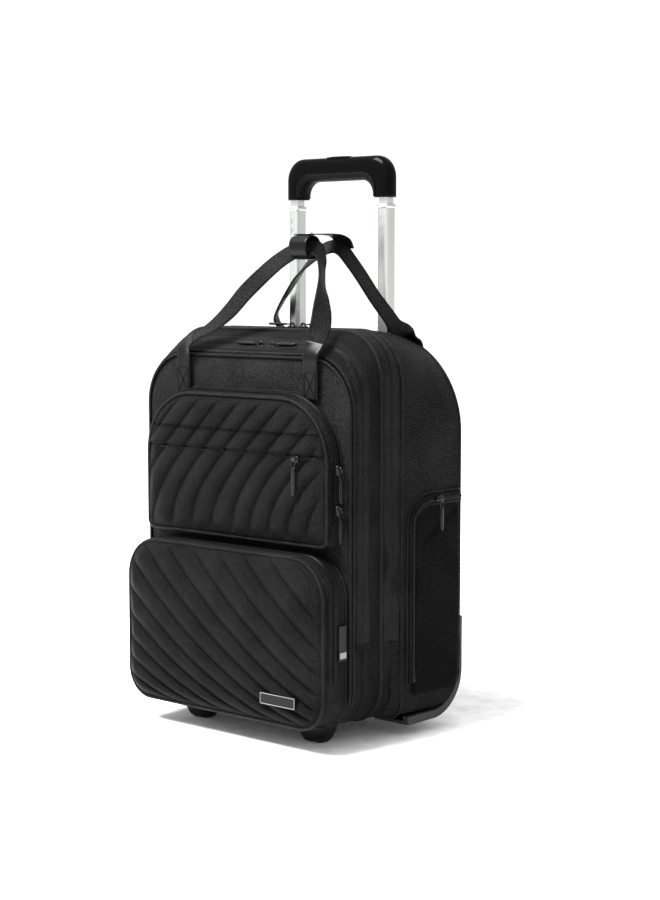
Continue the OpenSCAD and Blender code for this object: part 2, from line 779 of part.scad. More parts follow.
// Slider in its own frame: it runs along X, the tape lies under it in XY, and the pull's bar is along Y.
module slider() {
    color("#3a3a3c") {
        difference() {
            union() {
                hull() {
                    translate([slider_l / 2 - 2, -slider_w / 2, 0]) cube([2, slider_w, slider_h]);
                    translate([-slider_l / 2, -slider_w / 2 + 1.5, 0]) cube([2, slider_w - 3, slider_h]);
                }
                translate([-3, -crown_t / 2, slider_h - 0.1]) cube([6, crown_t, crown_r * 2 + 1.4]);
            }
            translate([0, 0, slider_h + crown_r]) rotate([90, 0, 0])
                cylinder(r = bar_r + bar_clear, h = 10, center = true);
        }
    }
}

// Pull in the slider's frame: a bar through the crown, a flat link and a moulded tab that lie towards -X.
module pull() {
    z = slider_h + crown_r;
    color("#2a2a2c") translate([0, 0, z]) union() {
        rotate([90, 0, 0]) cylinder(r = bar_r, h = 2 * link_y + 1, center = true);
        for (s = [-1, 1]) translate([-11, s * link_y - 0.6, -0.7]) cube([11.5, 1.2, 1.4]);
        translate([-pull_l, -2.9, -1.2]) cube([pull_l - 10, 5.8, 2.4]);
    }
}

// Places of the sliders: position, then the turn from the slider's frame.
zip_top_z = lookup(y_front_zip, tops);
front_slope = atan((middle_h - front_h) / (y_ring - y_face));
upper_side_x = upper_half_w + 1.1;
upper_slider_high_z = 326;
upper_slider_low_z = 280;

module at_front_slider(side) {
    translate([20 + side * 9, y_front_zip, zip_top_z + 1.6]) rotate([front_slope, 0, 0])
        mirror([side > 0 ? 1 : 0, 0, 0]) children();
}
module at_main_slider(side) {
    translate([22 + side * 9, y_main_zip, lookup(y_main_zip, tops) + 1.2])
        mirror([side > 0 ? 1 : 0, 0, 0]) children();
}
module at_upper_slider(z) {
    translate([upper_side_x, (upper_tape_y0 + upper_tape_y1) / 2, z]) mirror([1, 0, 0]) rotate([0, -90, 0])
        children();
}
module at_flap_slider() {
    translate([105, y_face - upper_depth - 1.2, flap_z - 4.5]) rotate([90, 0, 0]) children();
}
module at_lower_slider() {
    translate([-lower_half_w - 1.1, (lower_tape_y0 + lower_tape_y1) / 2, 112]) rotate([0, -90, 0]) children();
}
module at_side_slider(side) {
    translate([side * (half_w + side_depth + 1.1), y_face + 150, pocket_z1 - tape_w / 2])
        mirror([side > 0 ? 0 : 1, 0, 0]) rotate([90, 0, 90]) children();
}

// A pull that hangs across its zip, so the ring turns down round the side of the crown.
module hanging_pull() {
    z = slider_h + crown_r;
    color("#2a2a2c") translate([0, 0, z]) union() {
        rotate([90, 0, 0]) cylinder(r = bar_r, h = 2 * link_y + 1, center = true);
        for (s = [-1, 1]) translate([-1, s * link_y - 0.6, -0.7]) cube([2, 1.2, 1.4]);
        translate([-1, -11, -0.7]) cube([2, 9.4, 1.4]);
        translate([-2.9, -pull_l, -1.2]) cube([5.8, pull_l - 10, 2.4]);
    }
}

module side_slider(side) {
    at_side_slider(side) slider();
    at_side_slider(side) hanging_pull();
}

main_shell();
back_panel();
compartment_lining();
base_board();
wheel_base_tray();
wheel_housings();
front_feet();
base_rivets();
outer_tubes();
tube_base_bracket();
handle_bezel();
wheel_axles();
side_pockets();
side_zip_tapes();
main_zip_tape();
rear_strap();
rear_strap_anchors();
middle_gusset();
divider_wall();
laptop_sleeve();
middle_zip_tapes();
front_gusset();
front_face();
upper_pocket();
lower_pocket();
front_zip_tapes();
front_strap_anchors();
labels();
front_strap();
strap_wrap();
middle_tubes();
middle_tube_bushes();
inner_tubes();
grip_upper();
grip_lower();
lock_blocks();
release_button();
push_rods();
lock_pin(-1);  // lock_pin_left
lock_pin(1);  // lock_pin_right
tyre(-1);  // tyre_left
hub(-1);  // hub_left
tyre(1);  // tyre_right
hub(1);  // hub_right
at_front_slider(-1) slider();  // front_slider_left
at_front_slider(1) slider();  // front_slider_right
at_main_slider(-1) slider();  // main_slider_left
at_main_slider(1) slider();  // main_slider_right
at_upper_slider(upper_slider_high_z) slider();  // upper_slider_high
at_upper_slider(upper_slider_low_z) slider();  // upper_slider_low
at_flap_slider() slider();  // flap_slider
at_lower_slider() slider();  // lower_slider
side_slider(-1);  // side_slider_left
side_slider(1);  // side_slider_right
at_upper_slider(upper_slider_high_z) pull();  // upper_pull_high
at_upper_slider(upper_slider_low_z) pull();  // upper_pull_low
at_flap_slider() hanging_pull();  // flap_pull
at_lower_slider() pull();  // lower_pull
at_front_slider(-1) pull();  // front_pull_left
at_main_slider(-1) pull();  // main_pull_left
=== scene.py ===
import math

import bmesh
import bpy
import numpy as np
from mathutils import Matrix, Vector


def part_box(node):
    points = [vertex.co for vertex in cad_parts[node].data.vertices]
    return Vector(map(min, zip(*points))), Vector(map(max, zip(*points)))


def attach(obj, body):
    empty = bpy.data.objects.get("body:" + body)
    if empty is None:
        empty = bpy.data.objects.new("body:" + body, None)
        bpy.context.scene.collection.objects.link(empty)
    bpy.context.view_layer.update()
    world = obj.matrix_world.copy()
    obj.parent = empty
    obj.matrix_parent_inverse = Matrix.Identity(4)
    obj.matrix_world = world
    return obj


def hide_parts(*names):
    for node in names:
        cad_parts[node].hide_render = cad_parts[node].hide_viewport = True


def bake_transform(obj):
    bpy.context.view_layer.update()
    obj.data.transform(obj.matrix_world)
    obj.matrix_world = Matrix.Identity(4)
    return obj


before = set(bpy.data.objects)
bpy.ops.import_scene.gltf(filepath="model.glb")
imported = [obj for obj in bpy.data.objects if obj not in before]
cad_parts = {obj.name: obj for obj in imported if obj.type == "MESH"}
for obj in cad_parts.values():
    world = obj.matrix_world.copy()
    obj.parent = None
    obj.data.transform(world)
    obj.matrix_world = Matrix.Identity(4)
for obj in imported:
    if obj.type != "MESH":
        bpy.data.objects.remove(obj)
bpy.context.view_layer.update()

MM = 0.001


# ---- places that the frame gives ----------------------------------------------------------
def low(node, axis):
    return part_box(node)[0][axis]


def high(node, axis):
    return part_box(node)[1][axis]


HALF_W = high("main_shell", 0)
Y_FACE = low("front_face", 1)
Y_BACK = high("back_panel", 1)
Y_FRONT_ZIP = Y_FACE + 18 * MM
Y_RING = Y_FACE + 50 * MM
Y_MAIN_ZIP = Y_FACE + 68 * MM
Y_SEAM = Y_FACE + 88 * MM
BASE_Z = low("front_face", 2)
ZIP_END = low("main_zip_tape", 2)
FRONT_TOP = high("front_face", 2)
RING_TOP = high("middle_gusset", 2) - 2 * MM
BACK_TOP = high("back_panel", 2)
ZIP_GAP = 0.5 * MM
STITCH_STEP = 4 * MM
ARC_R = 51 * MM
ARC_Y = Y_BACK + 0.2 * MM - ARC_R
ARC_Z = low("wheel_base_tray", 2) + 56 * MM

OUTLINE_TOPS = [(Y_FACE, FRONT_TOP), (Y_FACE + 34 * MM, FRONT_TOP + 22 * MM), (Y_RING, RING_TOP),
                (Y_MAIN_ZIP, RING_TOP + 2 * MM), (Y_SEAM, RING_TOP + 1 * MM), (Y_BACK, BACK_TOP)]
OUTLINE_RADII = [(Y_FACE, 0.060), (Y_RING, 0.050), (Y_MAIN_ZIP, 0.052), (Y_SEAM, 0.060), (Y_BACK, 0.115)]
OUTLINE_BASES = [(Y_FACE, 0.044), (Y_RING, 0.042), (Y_MAIN_ZIP, 0.034), (Y_SEAM, 0.016), (Y_BACK, 0.010)]
OUTLINE_WIDTHS = [(Y_FACE, HALF_W - MM), (Y_RING, HALF_W), (Y_BACK, HALF_W)]


def along(table, y):
    return float(np.interp(y, [t[0] for t in table], [t[1] for t in table]))


def smoothstep(a, b, x):
    t = np.clip((np.asarray(x, float) - a) / (b - a), 0, 1)
    return t * t * (3 - 2 * t)


def base_at(y):
    """The underside rises along the round back corner of the base."""
    if y <= ARC_Y:
        return BASE_Z
    rise = ARC_Z - math.sqrt(max(ARC_R ** 2 - (y - ARC_Y) ** 2, 1e-9))
    return max(BASE_Z, rise)


FLAT_N, LOW_N, SIDE_N, TOP_N, CREST_N = 6, 12, 34, 20, 9
N_RIGHT = FLAT_N + LOW_N + SIDE_N + TOP_N + CREST_N - 1
N_LOOP = 2 * N_RIGHT - 2


def outline(y, off=0.0):
    """The shell's outline at a depth, from the bottom's middle round the right side to the top and back."""
    w = along(OUTLINE_WIDTHS, y) + off
    zt = along(OUTLINE_TOPS, y) + off
    zb = base_at(y) - off
    rb = along(OUTLINE_BASES, y) + off
    rt = along(OUTLINE_RADII, y) + off
    pts = [(x, zb) for x in np.linspace(0, w - rb, FLAT_N, endpoint=False)]
    pts += [(w - rb + rb * math.sin(a), zb + rb - rb * math.cos(a))
            for a in np.linspace(0, math.pi / 2, LOW_N)]
    below = 8
    pts += [(w, z) for z in np.linspace(zb + rb, ZIP_END, below + 1)[1:]]
    pts += [(w, z) for z in np.linspace(ZIP_END, zt - rt, SIDE_N - below + 2)[1:-1]]
    pts += [(w - rt + rt * math.cos(a), zt - rt + rt * math.sin(a))
            for a in np.linspace(0, math.pi / 2, TOP_N)]
    pts += [(x, zt) for x in np.linspace(w - rt, 0, CREST_N)[1:]]
    right = np.array(pts)
    left = right[-2:0:-1] * [-1, 1]
    return np.vstack([right, left])


def zip_index():
    """Index of the first outline point above the ends of the compartment zips."""
    return int(np.argmax(outline(Y_RING)[:, 1][:N_RIGHT] > ZIP_END - 0.1 * MM))


# ---- mesh helpers -------------------------------------------------------------------------
def grid_faces(n, m, wrap_n=False, wrap_m=False, start=0):
    faces = []
    for i in range(n if wrap_n else n - 1):
        for j in range(m if wrap_m else m - 1):
            a, b = i * m + j, i * m + (j + 1) % m
            c, d = ((i + 1) % n) * m + (j + 1) % m, ((i + 1) % n) * m + j
            faces.append((start + a, start + b, start + c, start + d))
    return faces


def make(name, verts, faces, material, smooth=True):
    me = bpy.data.meshes.new(name)
    me.from_pydata([tuple(map(float, v)) for v in verts], [], faces)
    me.validate()
    me.update()
    if smooth:
        me.shade_smooth()
    me.materials.append(material)
    obj = bpy.data.objects.new(name, me)
    bpy.context.scene.collection.objects.link(obj)
    return obj


class Builder:
    """Collects grids and then makes one mesh of them."""

    def __init__(self):
        self.verts, self.faces = [], []

    def grid(self, p, wrap_n=False, wrap_m=False, flip=False):
        p = np.asarray(p, float)
        n, m = p.shape[:2]
        faces = grid_faces(n, m, wrap_n, wrap_m, len(self.verts))
        if flip:
            faces = [f[::-1] for f in faces]
        self.verts += list(p.reshape(-1, 3))
        self.faces += faces
        return self

    def cap(self, ring, flip=False):
        start = len(self.verts)
        self.verts += list(np.asarray(ring, float))
        f = tuple(range(start, start + len(ring)))
        self.faces.append(f[::-1] if flip else f)
        return self

    def make(self, name, material):
        return make(name, self.verts, self.faces, material)


def closed_loft(name, rings, material):
    """Rings joined into a solid, with a cap at each end."""
    b = Builder().grid(rings, wrap_m=True).cap(rings[0], flip=True).cap(rings[-1])
    obj = b.make(name, material)
    weld(obj)
    return obj


def squircle(cx, cy, rx, ry, z, power, count=40):
    """A level ring between a circle and a square."""
    angles = np.linspace(0, 2 * math.pi, count, endpoint=False)
    return [(cx + rx * math.copysign(abs(math.cos(q)) ** power, math.cos(q)),
             cy + ry * math.copysign(abs(math.sin(q)) ** power, math.sin(q)), z) for q in angles]


def path_length(path):
    return float(np.linalg.norm(np.diff(path, axis=0), axis=1).sum())


def grid_normals(p, wrap_m=False):
    if wrap_m:
        dm = np.roll(p, -1, 1) - np.roll(p, 1, 1)
    else:
        dm = np.gradient(p, axis=1)
    dn = np.gradient(p, axis=0)
    n = np.cross(dm, dn)
    return n / np.maximum(np.linalg.norm(n, axis=2, keepdims=True), 1e-9)


def thick_sheet(name, p, thickness, material, wrap_m=False, inward=1):
    """A closed sheet: the grid, a copy at its thickness, and rims."""
    p = np.asarray(p, float)
    q = p - inward * grid_normals(p, wrap_m) * thickness
    b = Builder().grid(p, wrap_m=wrap_m).grid(q, wrap_m=wrap_m, flip=True)
    b.grid(np.stack([q[0], p[0]]), wrap_m=wrap_m)
    b.grid(np.stack([p[-1], q[-1]]), wrap_m=wrap_m)
    if not wrap_m:
        b.grid(np.stack([p[:, 0], q[:, 0]]))
        b.grid(np.stack([q[:, -1], p[:, -1]]))
    obj = b.make(name, material)
    weld(obj)
    return obj


def weld(obj):
    """Merges points that coincide and turns all faces outwards."""
    bm = bmesh.new()
    bm.from_mesh(obj.data)
    bmesh.ops.remove_doubles(bm, verts=bm.verts, dist=0.01 * MM)
    bmesh.ops.recalc_face_normals(bm, faces=bm.faces)
    bm.to_mesh(obj.data)
    bm.free()
    obj.data.shade_smooth()


def spline(points, steps):
    p = np.asarray(points, float)
    out = []
    for i in range(len(p) - 1):
        a, b, c, d = p[max(i - 1, 0)], p[i], p[i + 1], p[min(i + 2, len(p) - 1)]
        for s in range(steps):
            t = s / steps
            out.append(0.5 * (2 * b + (c - a) * t + (2 * a - 5 * b + 4 * c - d) * t * t
                              + (3 * b - a - 3 * c + d) * t ** 3))
    out.append(p[-1])
    return np.array(out)


def tube(name, path, radius, material, closed=False, sides=8, wobble=None):
    """A round tube along a path; wobble makes its radius vary along it."""
    path = np.asarray(path, float)
    n = len(path)
    if closed:
        tan = np.roll(path, -1, 0) - np.roll(path, 1, 0)
    else:
        tan = np.gradient(path, axis=0)
    tan /= np.maximum(np.linalg.norm(tan, axis=1, keepdims=True), 1e-9)
    ref = np.array([0.0, 1.0, 0.0]) if abs(tan[:, 1]).max() < 0.9 else np.array([0.13, 0.05, 0.99])
    side = np.cross(tan, ref)
    side /= np.maximum(np.linalg.norm(side, axis=1, keepdims=True), 1e-9)
    up = np.cross(side, tan)
    r = np.full(n, radius) if wobble is None else radius * wobble
    a = np.linspace(0, 2 * math.pi, sides, endpoint=False)
    rings = (path[:, None] + r[:, None, None] * (side[:, None] * np.cos(a)[None, :, None]
                                                 + up[:, None] * np.sin(a)[None, :, None]))
    b = Builder().grid(rings, wrap_n=closed, wrap_m=True)
    if not closed:
        b.cap(rings[0], flip=True).cap(rings[-1])
    obj = b.make(name, material)
    weld(obj)
    return obj


def resample(path, step):
    path = np.asarray(path, float)
    d = np.r_[0, np.cumsum(np.linalg.norm(np.diff(path, axis=0), axis=1))]
    s = np.arange(0, d[-1], step)
    return np.stack([np.interp(s, d, path[:, k]) for k in range(3)], axis=1)


def join(name, objects):
    bpy.ops.object.select_all(action="DESELECT")
    for o in objects:
        o.select_set(True)
    bpy.context.view_layer.objects.active = objects[0]
    bpy.ops.object.join()
    objects[0].name = name
    objects[0].data.name = name
    return objects[0]


def stitches(name, path, material, pitch=3.2 * MM, length=2.2 * MM, radius=0.28 * MM):
    """Short thread stitches, one after another along a path."""
    path = np.asarray(path, float)
    d = np.r_[0, np.cumsum(np.linalg.norm(np.diff(path, axis=0), axis=1))]
    b = Builder()
    for s0 in np.arange(pitch / 2, d[-1] - length, pitch):
        ends = [np.array([np.interp(s, d, path[:, k]) for k in range(3)]) for s in (s0, s0 + length)]
        t = ends[1] - ends[0]
        t /= max(np.linalg.norm(t), 1e-9)
        side = np.cross(t, [0.31, 0.87, 0.38])
        side /= np.linalg.norm(side)
        up = np.cross(side, t)
        ring = [radius * (side * math.cos(a) + up * math.sin(a)) for a in np.linspace(0, 2 * math.pi, 5)[:-1]]
        b.grid(np.array([[e + r for r in ring] for e in ends]), wrap_m=True)
        b.cap([ends[0] + r for r in ring], flip=True).cap([ends[1] + r for r in ring])
    return b.make(name, material)


# ---- materials ----------------------------------------------------------------------------
def principled(name, colour, rough, metallic=0.0, sheen=0.0, specular=0.5):
    mat = bpy.data.materials.new(name)
    mat.use_nodes = True
    nodes = mat.node_tree.nodes
    shader = nodes["Principled BSDF"]
    shader.inputs["Base Color"].default_value = (*colour, 1)
    shader.inputs["Roughness"].default_value = rough
    shader.inputs["Metallic"].default_value = metallic
    shader.inputs["Sheen Weight"].default_value = sheen
    shader.inputs["Sheen Roughness"].default_value = 0.45
    shader.inputs["Specular IOR Level"].default_value = specular
    return mat, mat.node_tree, shader


def mottle(tree, shader, colour, amount, scale, coords, fine=0.0):
    """Slow colour variation over the surface, with a finer grain mixed in."""
    noise = tree.nodes.new("ShaderNodeTexNoise")
    noise.inputs["Scale"].default_value = scale
    noise.inputs["Detail"].default_value = 4
    level = noise.outputs["Fac"]
    if fine:
        threads = combine(tree, "MULTIPLY", noise_height(tree, coords, fine, 1.0), 3.0)
        level = combine(tree, "MULTIPLY", combine(tree, "ADD", level, threads), 0.25)
    ramp = tree.nodes.new("ShaderNodeValToRGB")
    ramp.color_ramp.elements[0].position = 0.42 if fine else 0.3
    ramp.color_ramp.elements[1].position = 0.58 if fine else 0.7
    ramp.color_ramp.elements[0].color = (*[c * (1 - amount) for c in colour], 1)
    ramp.color_ramp.elements[1].color = (*[c * (1 + amount) for c in colour], 1)
    tree.links.new(coords, noise.inputs["Vector"])
    tree.links.new(level, ramp.inputs["Fac"])
    tree.links.new(ramp.outputs["Color"], shader.inputs["Base Color"])


def band(tree, coords, direction, period):
    wave = tree.nodes.new("ShaderNodeTexWave")
    wave.wave_type = "BANDS"
    wave.bands_direction = direction
    wave.wave_profile = "SIN"
    wave.inputs["Scale"].default_value = 2 * math.pi / (20 * period)
    wave.inputs["Distortion"].default_value = 0.0
    tree.links.new(coords, wave.inputs["Vector"])
    return wave.outputs["Fac"]


def combine(tree, operation, a, b):
    node = tree.nodes.new("ShaderNodeMath")
    node.operation = operation
    tree.links.new(a, node.inputs[0])
    if isinstance(b, float):
        node.inputs[1].default_value = b
    else:
        tree.links.new(b, node.inputs[1])
    return node.outputs[0]


def bump(tree, shader, height, strength, distance):
    node = tree.nodes.new("ShaderNodeBump")
    node.inputs["Strength"].default_value = strength
    node.inputs["Distance"].default_value = distance
    tree.links.new(height, node.inputs["Height"])
    tree.links.new(node.outputs["Normal"], shader.inputs["Normal"])


def noise_height(tree, coords, scale, detail=2.0):
    noise = tree.nodes.new("ShaderNodeTexNoise")
    noise.inputs["Scale"].default_value = scale
    noise.inputs["Detail"].default_value = detail
    tree.links.new(coords, noise.inputs["Vector"])
    return noise.outputs["Fac"]


def woven(name, colour, rough=0.62, sheen=0.02, weave=1.1 * MM, rib=None, strength=0.8,
          wrinkle=0.25, specular=0.2, contrast=0.75):
    """Nylon cloth: a fine over-and-under weave or a rib, slow wrinkles and a mottled colour."""
    mat, tree, shader = principled(name, colour, rough, sheen=sheen, specular=specular)
    coords = tree.nodes.new("ShaderNodeTexCoord").outputs["Object"]
    mottle(tree, shader, colour, contrast, 22.0, coords, fine=900.0)
    across = combine(tree, "MULTIPLY", band(tree, coords, "X", weave), band(tree, coords, "Z", weave))
    height = combine(tree, "ADD", across, combine(tree, "MULTIPLY", band(tree, coords, "Y", weave), 0.6))
    if rib:
        ribs = combine(tree, "MULTIPLY", band(tree, coords, "Z", rib), 2.2)
        height = combine(tree, "ADD", height, ribs)
    wrinkles = combine(tree, "MULTIPLY", noise_height(tree, coords, 45.0, 3.0), wrinkle * 12)
    height = combine(tree, "ADD", height, wrinkles)
    grain = combine(tree, "MULTIPLY", noise_height(tree, coords, 700.0, 2.0), 2.4)
    bump(tree, shader, combine(tree, "ADD", height, grain), strength, 0.55 * MM)
    spread = noise_height(tree, coords, 60.0, 3.0)
    ramp = tree.nodes.new("ShaderNodeMapRange")
    ramp.inputs["To Min"].default_value = rough - 0.09
    ramp.inputs["To Max"].default_value = rough + 0.09
    tree.links.new(spread, ramp.inputs["Value"])
    tree.links.new(ramp.outputs["Result"], shader.inputs["Roughness"])
    return mat


def moulded(name, colour, rough, grain=500.0, strength=0.15, specular=0.5):
    """Moulded plastic or rubber with a fine grain."""
    mat, tree, shader = principled(name, colour, rough, specular=specular)
    coords = tree.nodes.new("ShaderNodeTexCoord").outputs["Object"]
    mottle(tree, shader, colour, 0.12, 35.0, coords)
    bump(tree, shader, noise_height(tree, coords, grain, 3.0), strength, 0.15 * MM)
    return mat


def dotted(name, colour, rough, pitch):
    """Soft plastic with small raised dots."""
    mat, tree, shader = principled(name, colour, rough, specular=0.04)
    coords = tree.nodes.new("ShaderNodeTexCoord").outputs["Object"]
    mottle(tree, shader, colour, 0.3, 40.0, coords)
    dots = combine(tree, "MULTIPLY", band(tree, coords, "X", pitch), band(tree, coords, "Z", pitch))
    dots = combine(tree, "ADD", dots, combine(tree, "MULTIPLY", band(tree, coords, "Y", pitch), 0.7))
    bump(tree, shader, dots, 0.6, 0.4 * MM)
    return mat


def brushed(name, colour, rough):
    """Anodised aluminium with fine lines along the tube."""
    mat, tree, shader = principled(name, colour, rough, metallic=1.0)
    coords = tree.nodes.new("ShaderNodeTexCoord").outputs["Object"]
    mapping = tree.nodes.new("ShaderNodeMapping")
    mapping.inputs["Scale"].default_value = (2600, 2600, 12)
    tree.links.new(coords, mapping.inputs["Vector"])
    lines = tree.nodes.new("ShaderNodeTexNoise")
    lines.inputs["Scale"].default_value = 1.0
    lines.inputs["Detail"].default_value = 3
    tree.links.new(mapping.outputs["Vector"], lines.inputs["Vector"])
    mottle(tree, shader, colour, 0.04, 14.0, coords)
    spread = tree.nodes.new("ShaderNodeMapRange")
    spread.inputs["To Min"].default_value = rough - 0.06
    spread.inputs["To Max"].default_value = rough + 0.08
    tree.links.new(lines.outputs["Fac"], spread.inputs["Value"])
    tree.links.new(spread.outputs["Result"], shader.inputs["Roughness"])
    bump(tree, shader, lines.outputs["Fac"], 0.06, 0.05 * MM)
    return mat


PANEL = woven("panel_nylon", (0.0080, 0.0078, 0.0080), 0.55, 0.0, 0.9 * MM, specular=0.03)
QUILT = woven("quilted_nylon", (0.0042, 0.0040, 0.0042), 0.5, 0.0, 1.0 * MM, wrinkle=0.5, specular=0.03)
TWILL = woven("side_twill", (0.0068, 0.0066, 0.0069), 0.55, 0.0, 1.0 * MM, rib=2.6 * MM, specular=0.02)
DARK_TWILL = woven("pocket_twill", (0.0020, 0.0019, 0.0020), 0.55, 0.0, 1.0 * MM, rib=2.6 * MM, specular=0.015)
GUSSET = woven("gusset_nylon", (0.0048, 0.0046, 0.0049), 0.5, 0.0, 0.9 * MM, specular=0.02)
LINING = woven("grey_lining", (0.07, 0.07, 0.075), 0.7, 0.05, 1.2 * MM, contrast=0.2)
TAPE = woven("zip_tape_cloth", (0.0040, 0.0039, 0.0041), 0.55, 0.0, 1.8 * MM, strength=1.0, wrinkle=0.1,
             specular=0.05, contrast=1.0)
WEBBING = woven("webbing_rib", (0.0050, 0.0048, 0.0051), 0.45, 0.0, 1.6 * MM, strength=1.0, specular=0.06)
PIPING = woven("piping_cloth", (0.0046, 0.0045, 0.0047), 0.4, 0.0, 1.2 * MM, strength=0.5, specular=0.05)
COIL = moulded("zip_coil", (0.002, 0.002, 0.002), 0.35, specular=0.08)
THREAD = moulded("black_thread", (0.002, 0.002, 0.002), 0.6, specular=0.03)
LEATHER = moulded("glossy_patch", (0.0024, 0.0024, 0.0026), 0.32, 260.0, 0.5, specular=0.10)
GLOSS = moulded("grip_gloss", (0.0014, 0.0014, 0.0015), 0.16, 80.0, 0.03, specular=0.03)
SOFT_GRIP = dotted("grip_soft_dots", (0.0012, 0.0012, 0.0012), 0.5, 2.4 * MM)
GUARD = moulded("guard_moulding", (0.016, 0.0155, 0.0155), 0.42, 700.0, 0.25, specular=0.14)
BLACK_PLASTIC = moulded("black_moulding", (0.004, 0.004, 0.0042), 0.45, 600.0, 0.2, specular=0.1)
METAL_BLACK = moulded("black_enamel", (0.004, 0.004, 0.0044), 0.28, 300.0, 0.06, specular=0.2)
PULL = moulded("pull_moulding", (0.0030, 0.0030, 0.0032), 0.34, 500.0, 0.15, specular=0.12)
ALUMINIUM = brushed("anodised_tube", (0.42, 0.43, 0.42), 0.38)
MILL = brushed("outer_tube_metal", (0.45, 0.46, 0.47), 0.42)
STEEL = brushed("plain_steel", (0.5, 0.5, 0.52), 0.35)
BUSH = moulded("bush_nylon", (0.30, 0.31, 0.31), 0.4)
RUBBER = moulded("tyre_rubber", (0.008, 0.008, 0.008), 0.6, 300.0, 0.3, specular=0.15)
HUB = moulded("hub_moulding", (0.02, 0.02, 0.022), 0.4, 500.0, 0.15, specular=0.3)
BORDER = moulded("label_border", (0.14, 0.14, 0.14), 0.5, 900.0, 0.2)
FLOOR = moulded("studio_floor", (0.94, 0.94, 0.94), 0.9, 30.0, 0.02, specular=0.0)


def finish_piece(obj, body, slot, *replaced):
    if body:
        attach(obj, body)
    if replaced:
        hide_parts(*replaced)
    return obj


def piping(name, path, radius, body, closed=True):
    """A covered cord along a seam."""
    return finish_piece(tube(name, path, radius, PIPING, closed=closed), body, "webbing")


def sewn(name, path, body, slot, *sizes):
    """A row of thread stitches along a path."""
    return finish_piece(stitches(name, path, THREAD, *sizes), body, slot)


# ---- soft relief --------------------------------------------------------------------------
def ripple(x, y, z, seed=0.0):
    """Slow folds of the cloth, as a sum of waves, in metres."""
    return (1.1 * np.sin(23 * x + 31 * z + seed) * np.sin(19 * z - 13 * y + 2 * seed)
            + 0.6 * np.sin(61 * z + 17 * y + 5 * seed) * np.cos(37 * x - 29 * y + seed)) * MM


def loft(stations, off=0.0, puff=0.0, y_puff=None, seed=0.0, folds=0.0):
    """Outline rings at each depth, pushed outwards by a puff and by slow folds."""
    rings = []
    for y in stations:
        ring = outline(y, off)
        nxt, prv = np.roll(ring, -1, 0), np.roll(ring, 1, 0)
        t = nxt - prv
        n = np.stack([t[:, 1], -t[:, 0]], axis=1)
        n /= np.maximum(np.linalg.norm(n, axis=1, keepdims=True), 1e-9)
        push = np.zeros(len(ring))
        if puff and y_puff:
            u = (y - y_puff[0]) / (y_puff[1] - y_puff[0])
            push += puff * math.sin(math.pi * min(max(u, 0), 1)) ** 0.8
        if folds:
            push += folds * ripple(ring[:, 0], y, ring[:, 1], seed)
        ring = ring + n * push[:, None]
        rings.append(np.stack([ring[:, 0], np.full(len(ring), y), ring[:, 1]], axis=1))
    return np.array(rings)


def outline_path(y, off=0.0):
    ring = outline(y, off)
    return np.stack([ring[:, 0], np.full(len(ring), y), ring[:, 1]], axis=1)


def zip_run(path):
    """The part of an outline path above the ends of the zips."""
    k = zip_index()
    return path[k:N_LOOP - k + 1]


# ---- compartments -------------------------------------------------------------------------
def case_shell():
    stations = np.r_[Y_MAIN_ZIP + ZIP_GAP, np.linspace(Y_MAIN_ZIP + 3 * MM, Y_SEAM, 7),
                     np.linspace(Y_SEAM + 3 * MM, Y_BACK - 12 * MM, 26),
                     Y_BACK - 8 * MM, Y_BACK - 5 * MM, Y_BACK - 3 * MM]
    p = loft(stations, -0.4 * MM, 1.6 * MM, (Y_SEAM, Y_BACK), 0.7, 0.8)
    shell = thick_sheet("case_shell", p, 2.4 * MM, TWILL, wrap_m=True)
    finish_piece(shell, "case", "side_twill", "main_shell")
    piping("seam_piping", outline_path(Y_SEAM, 1.7 * MM), 2.0 * MM, "case")
    piping("back_piping", outline_path(Y_BACK - 3 * MM, 0.6 * MM), 2.3 * MM, "case")


def back_panel():
    rings = []
    ring = outline(Y_BACK - 3 * MM, -1.0 * MM)
    centre = np.array([0.0, 0.25])
    for s in np.linspace(1, 0.02, 34):
        flat = centre + (ring - centre) * s
        crown = 2.2 * MM * (1 - s ** 3)
        y = Y_BACK - 3 * MM + 2.6 * MM * min(1, (1 - s) * 14) ** 0.5 + crown * 0.4
        push = 0.7 * ripple(flat[:, 0], y, flat[:, 1], 1.9)
        rings.append(np.stack([flat[:, 0], y + np.minimum(push, 0.8 * MM), flat[:, 1]], axis=1))
    panel = Builder().grid(rings, wrap_m=True).cap(rings[-1]).make("back_skin", PANEL)
    weld(panel)
    solid = panel.modifiers.new("thickness", "SOLIDIFY")
    solid.thickness = 2.4 * MM
    solid.offset = -1
    finish_piece(panel, "case", "panel_fabric", "back_panel")


def gusset_ring(name, y0, y1, body, replaced):
    """The cloth wall of a compartment, all the way round."""
    stations = np.linspace(y0, y1, 9)
    p = loft(stations, -0.3 * MM, 0.5 * MM, (y0, y1), 0.3, 0.5)
    ring = thick_sheet(name, p, 2.2 * MM, GUSSET, wrap_m=True)
    finish_piece(ring, body, "panel_fabric", replaced)


def coil(name, path, radius, body):
    """A zip coil: a tube with a tooth every two millimetres."""
    fine = resample(path, 0.9 * MM)
    wobble = 1 + 0.22 * np.cos(np.arange(len(fine)) * math.pi)
    return finish_piece(tube(name, fine, radius, COIL, sides=6, wobble=wobble), body, "zip_metal")


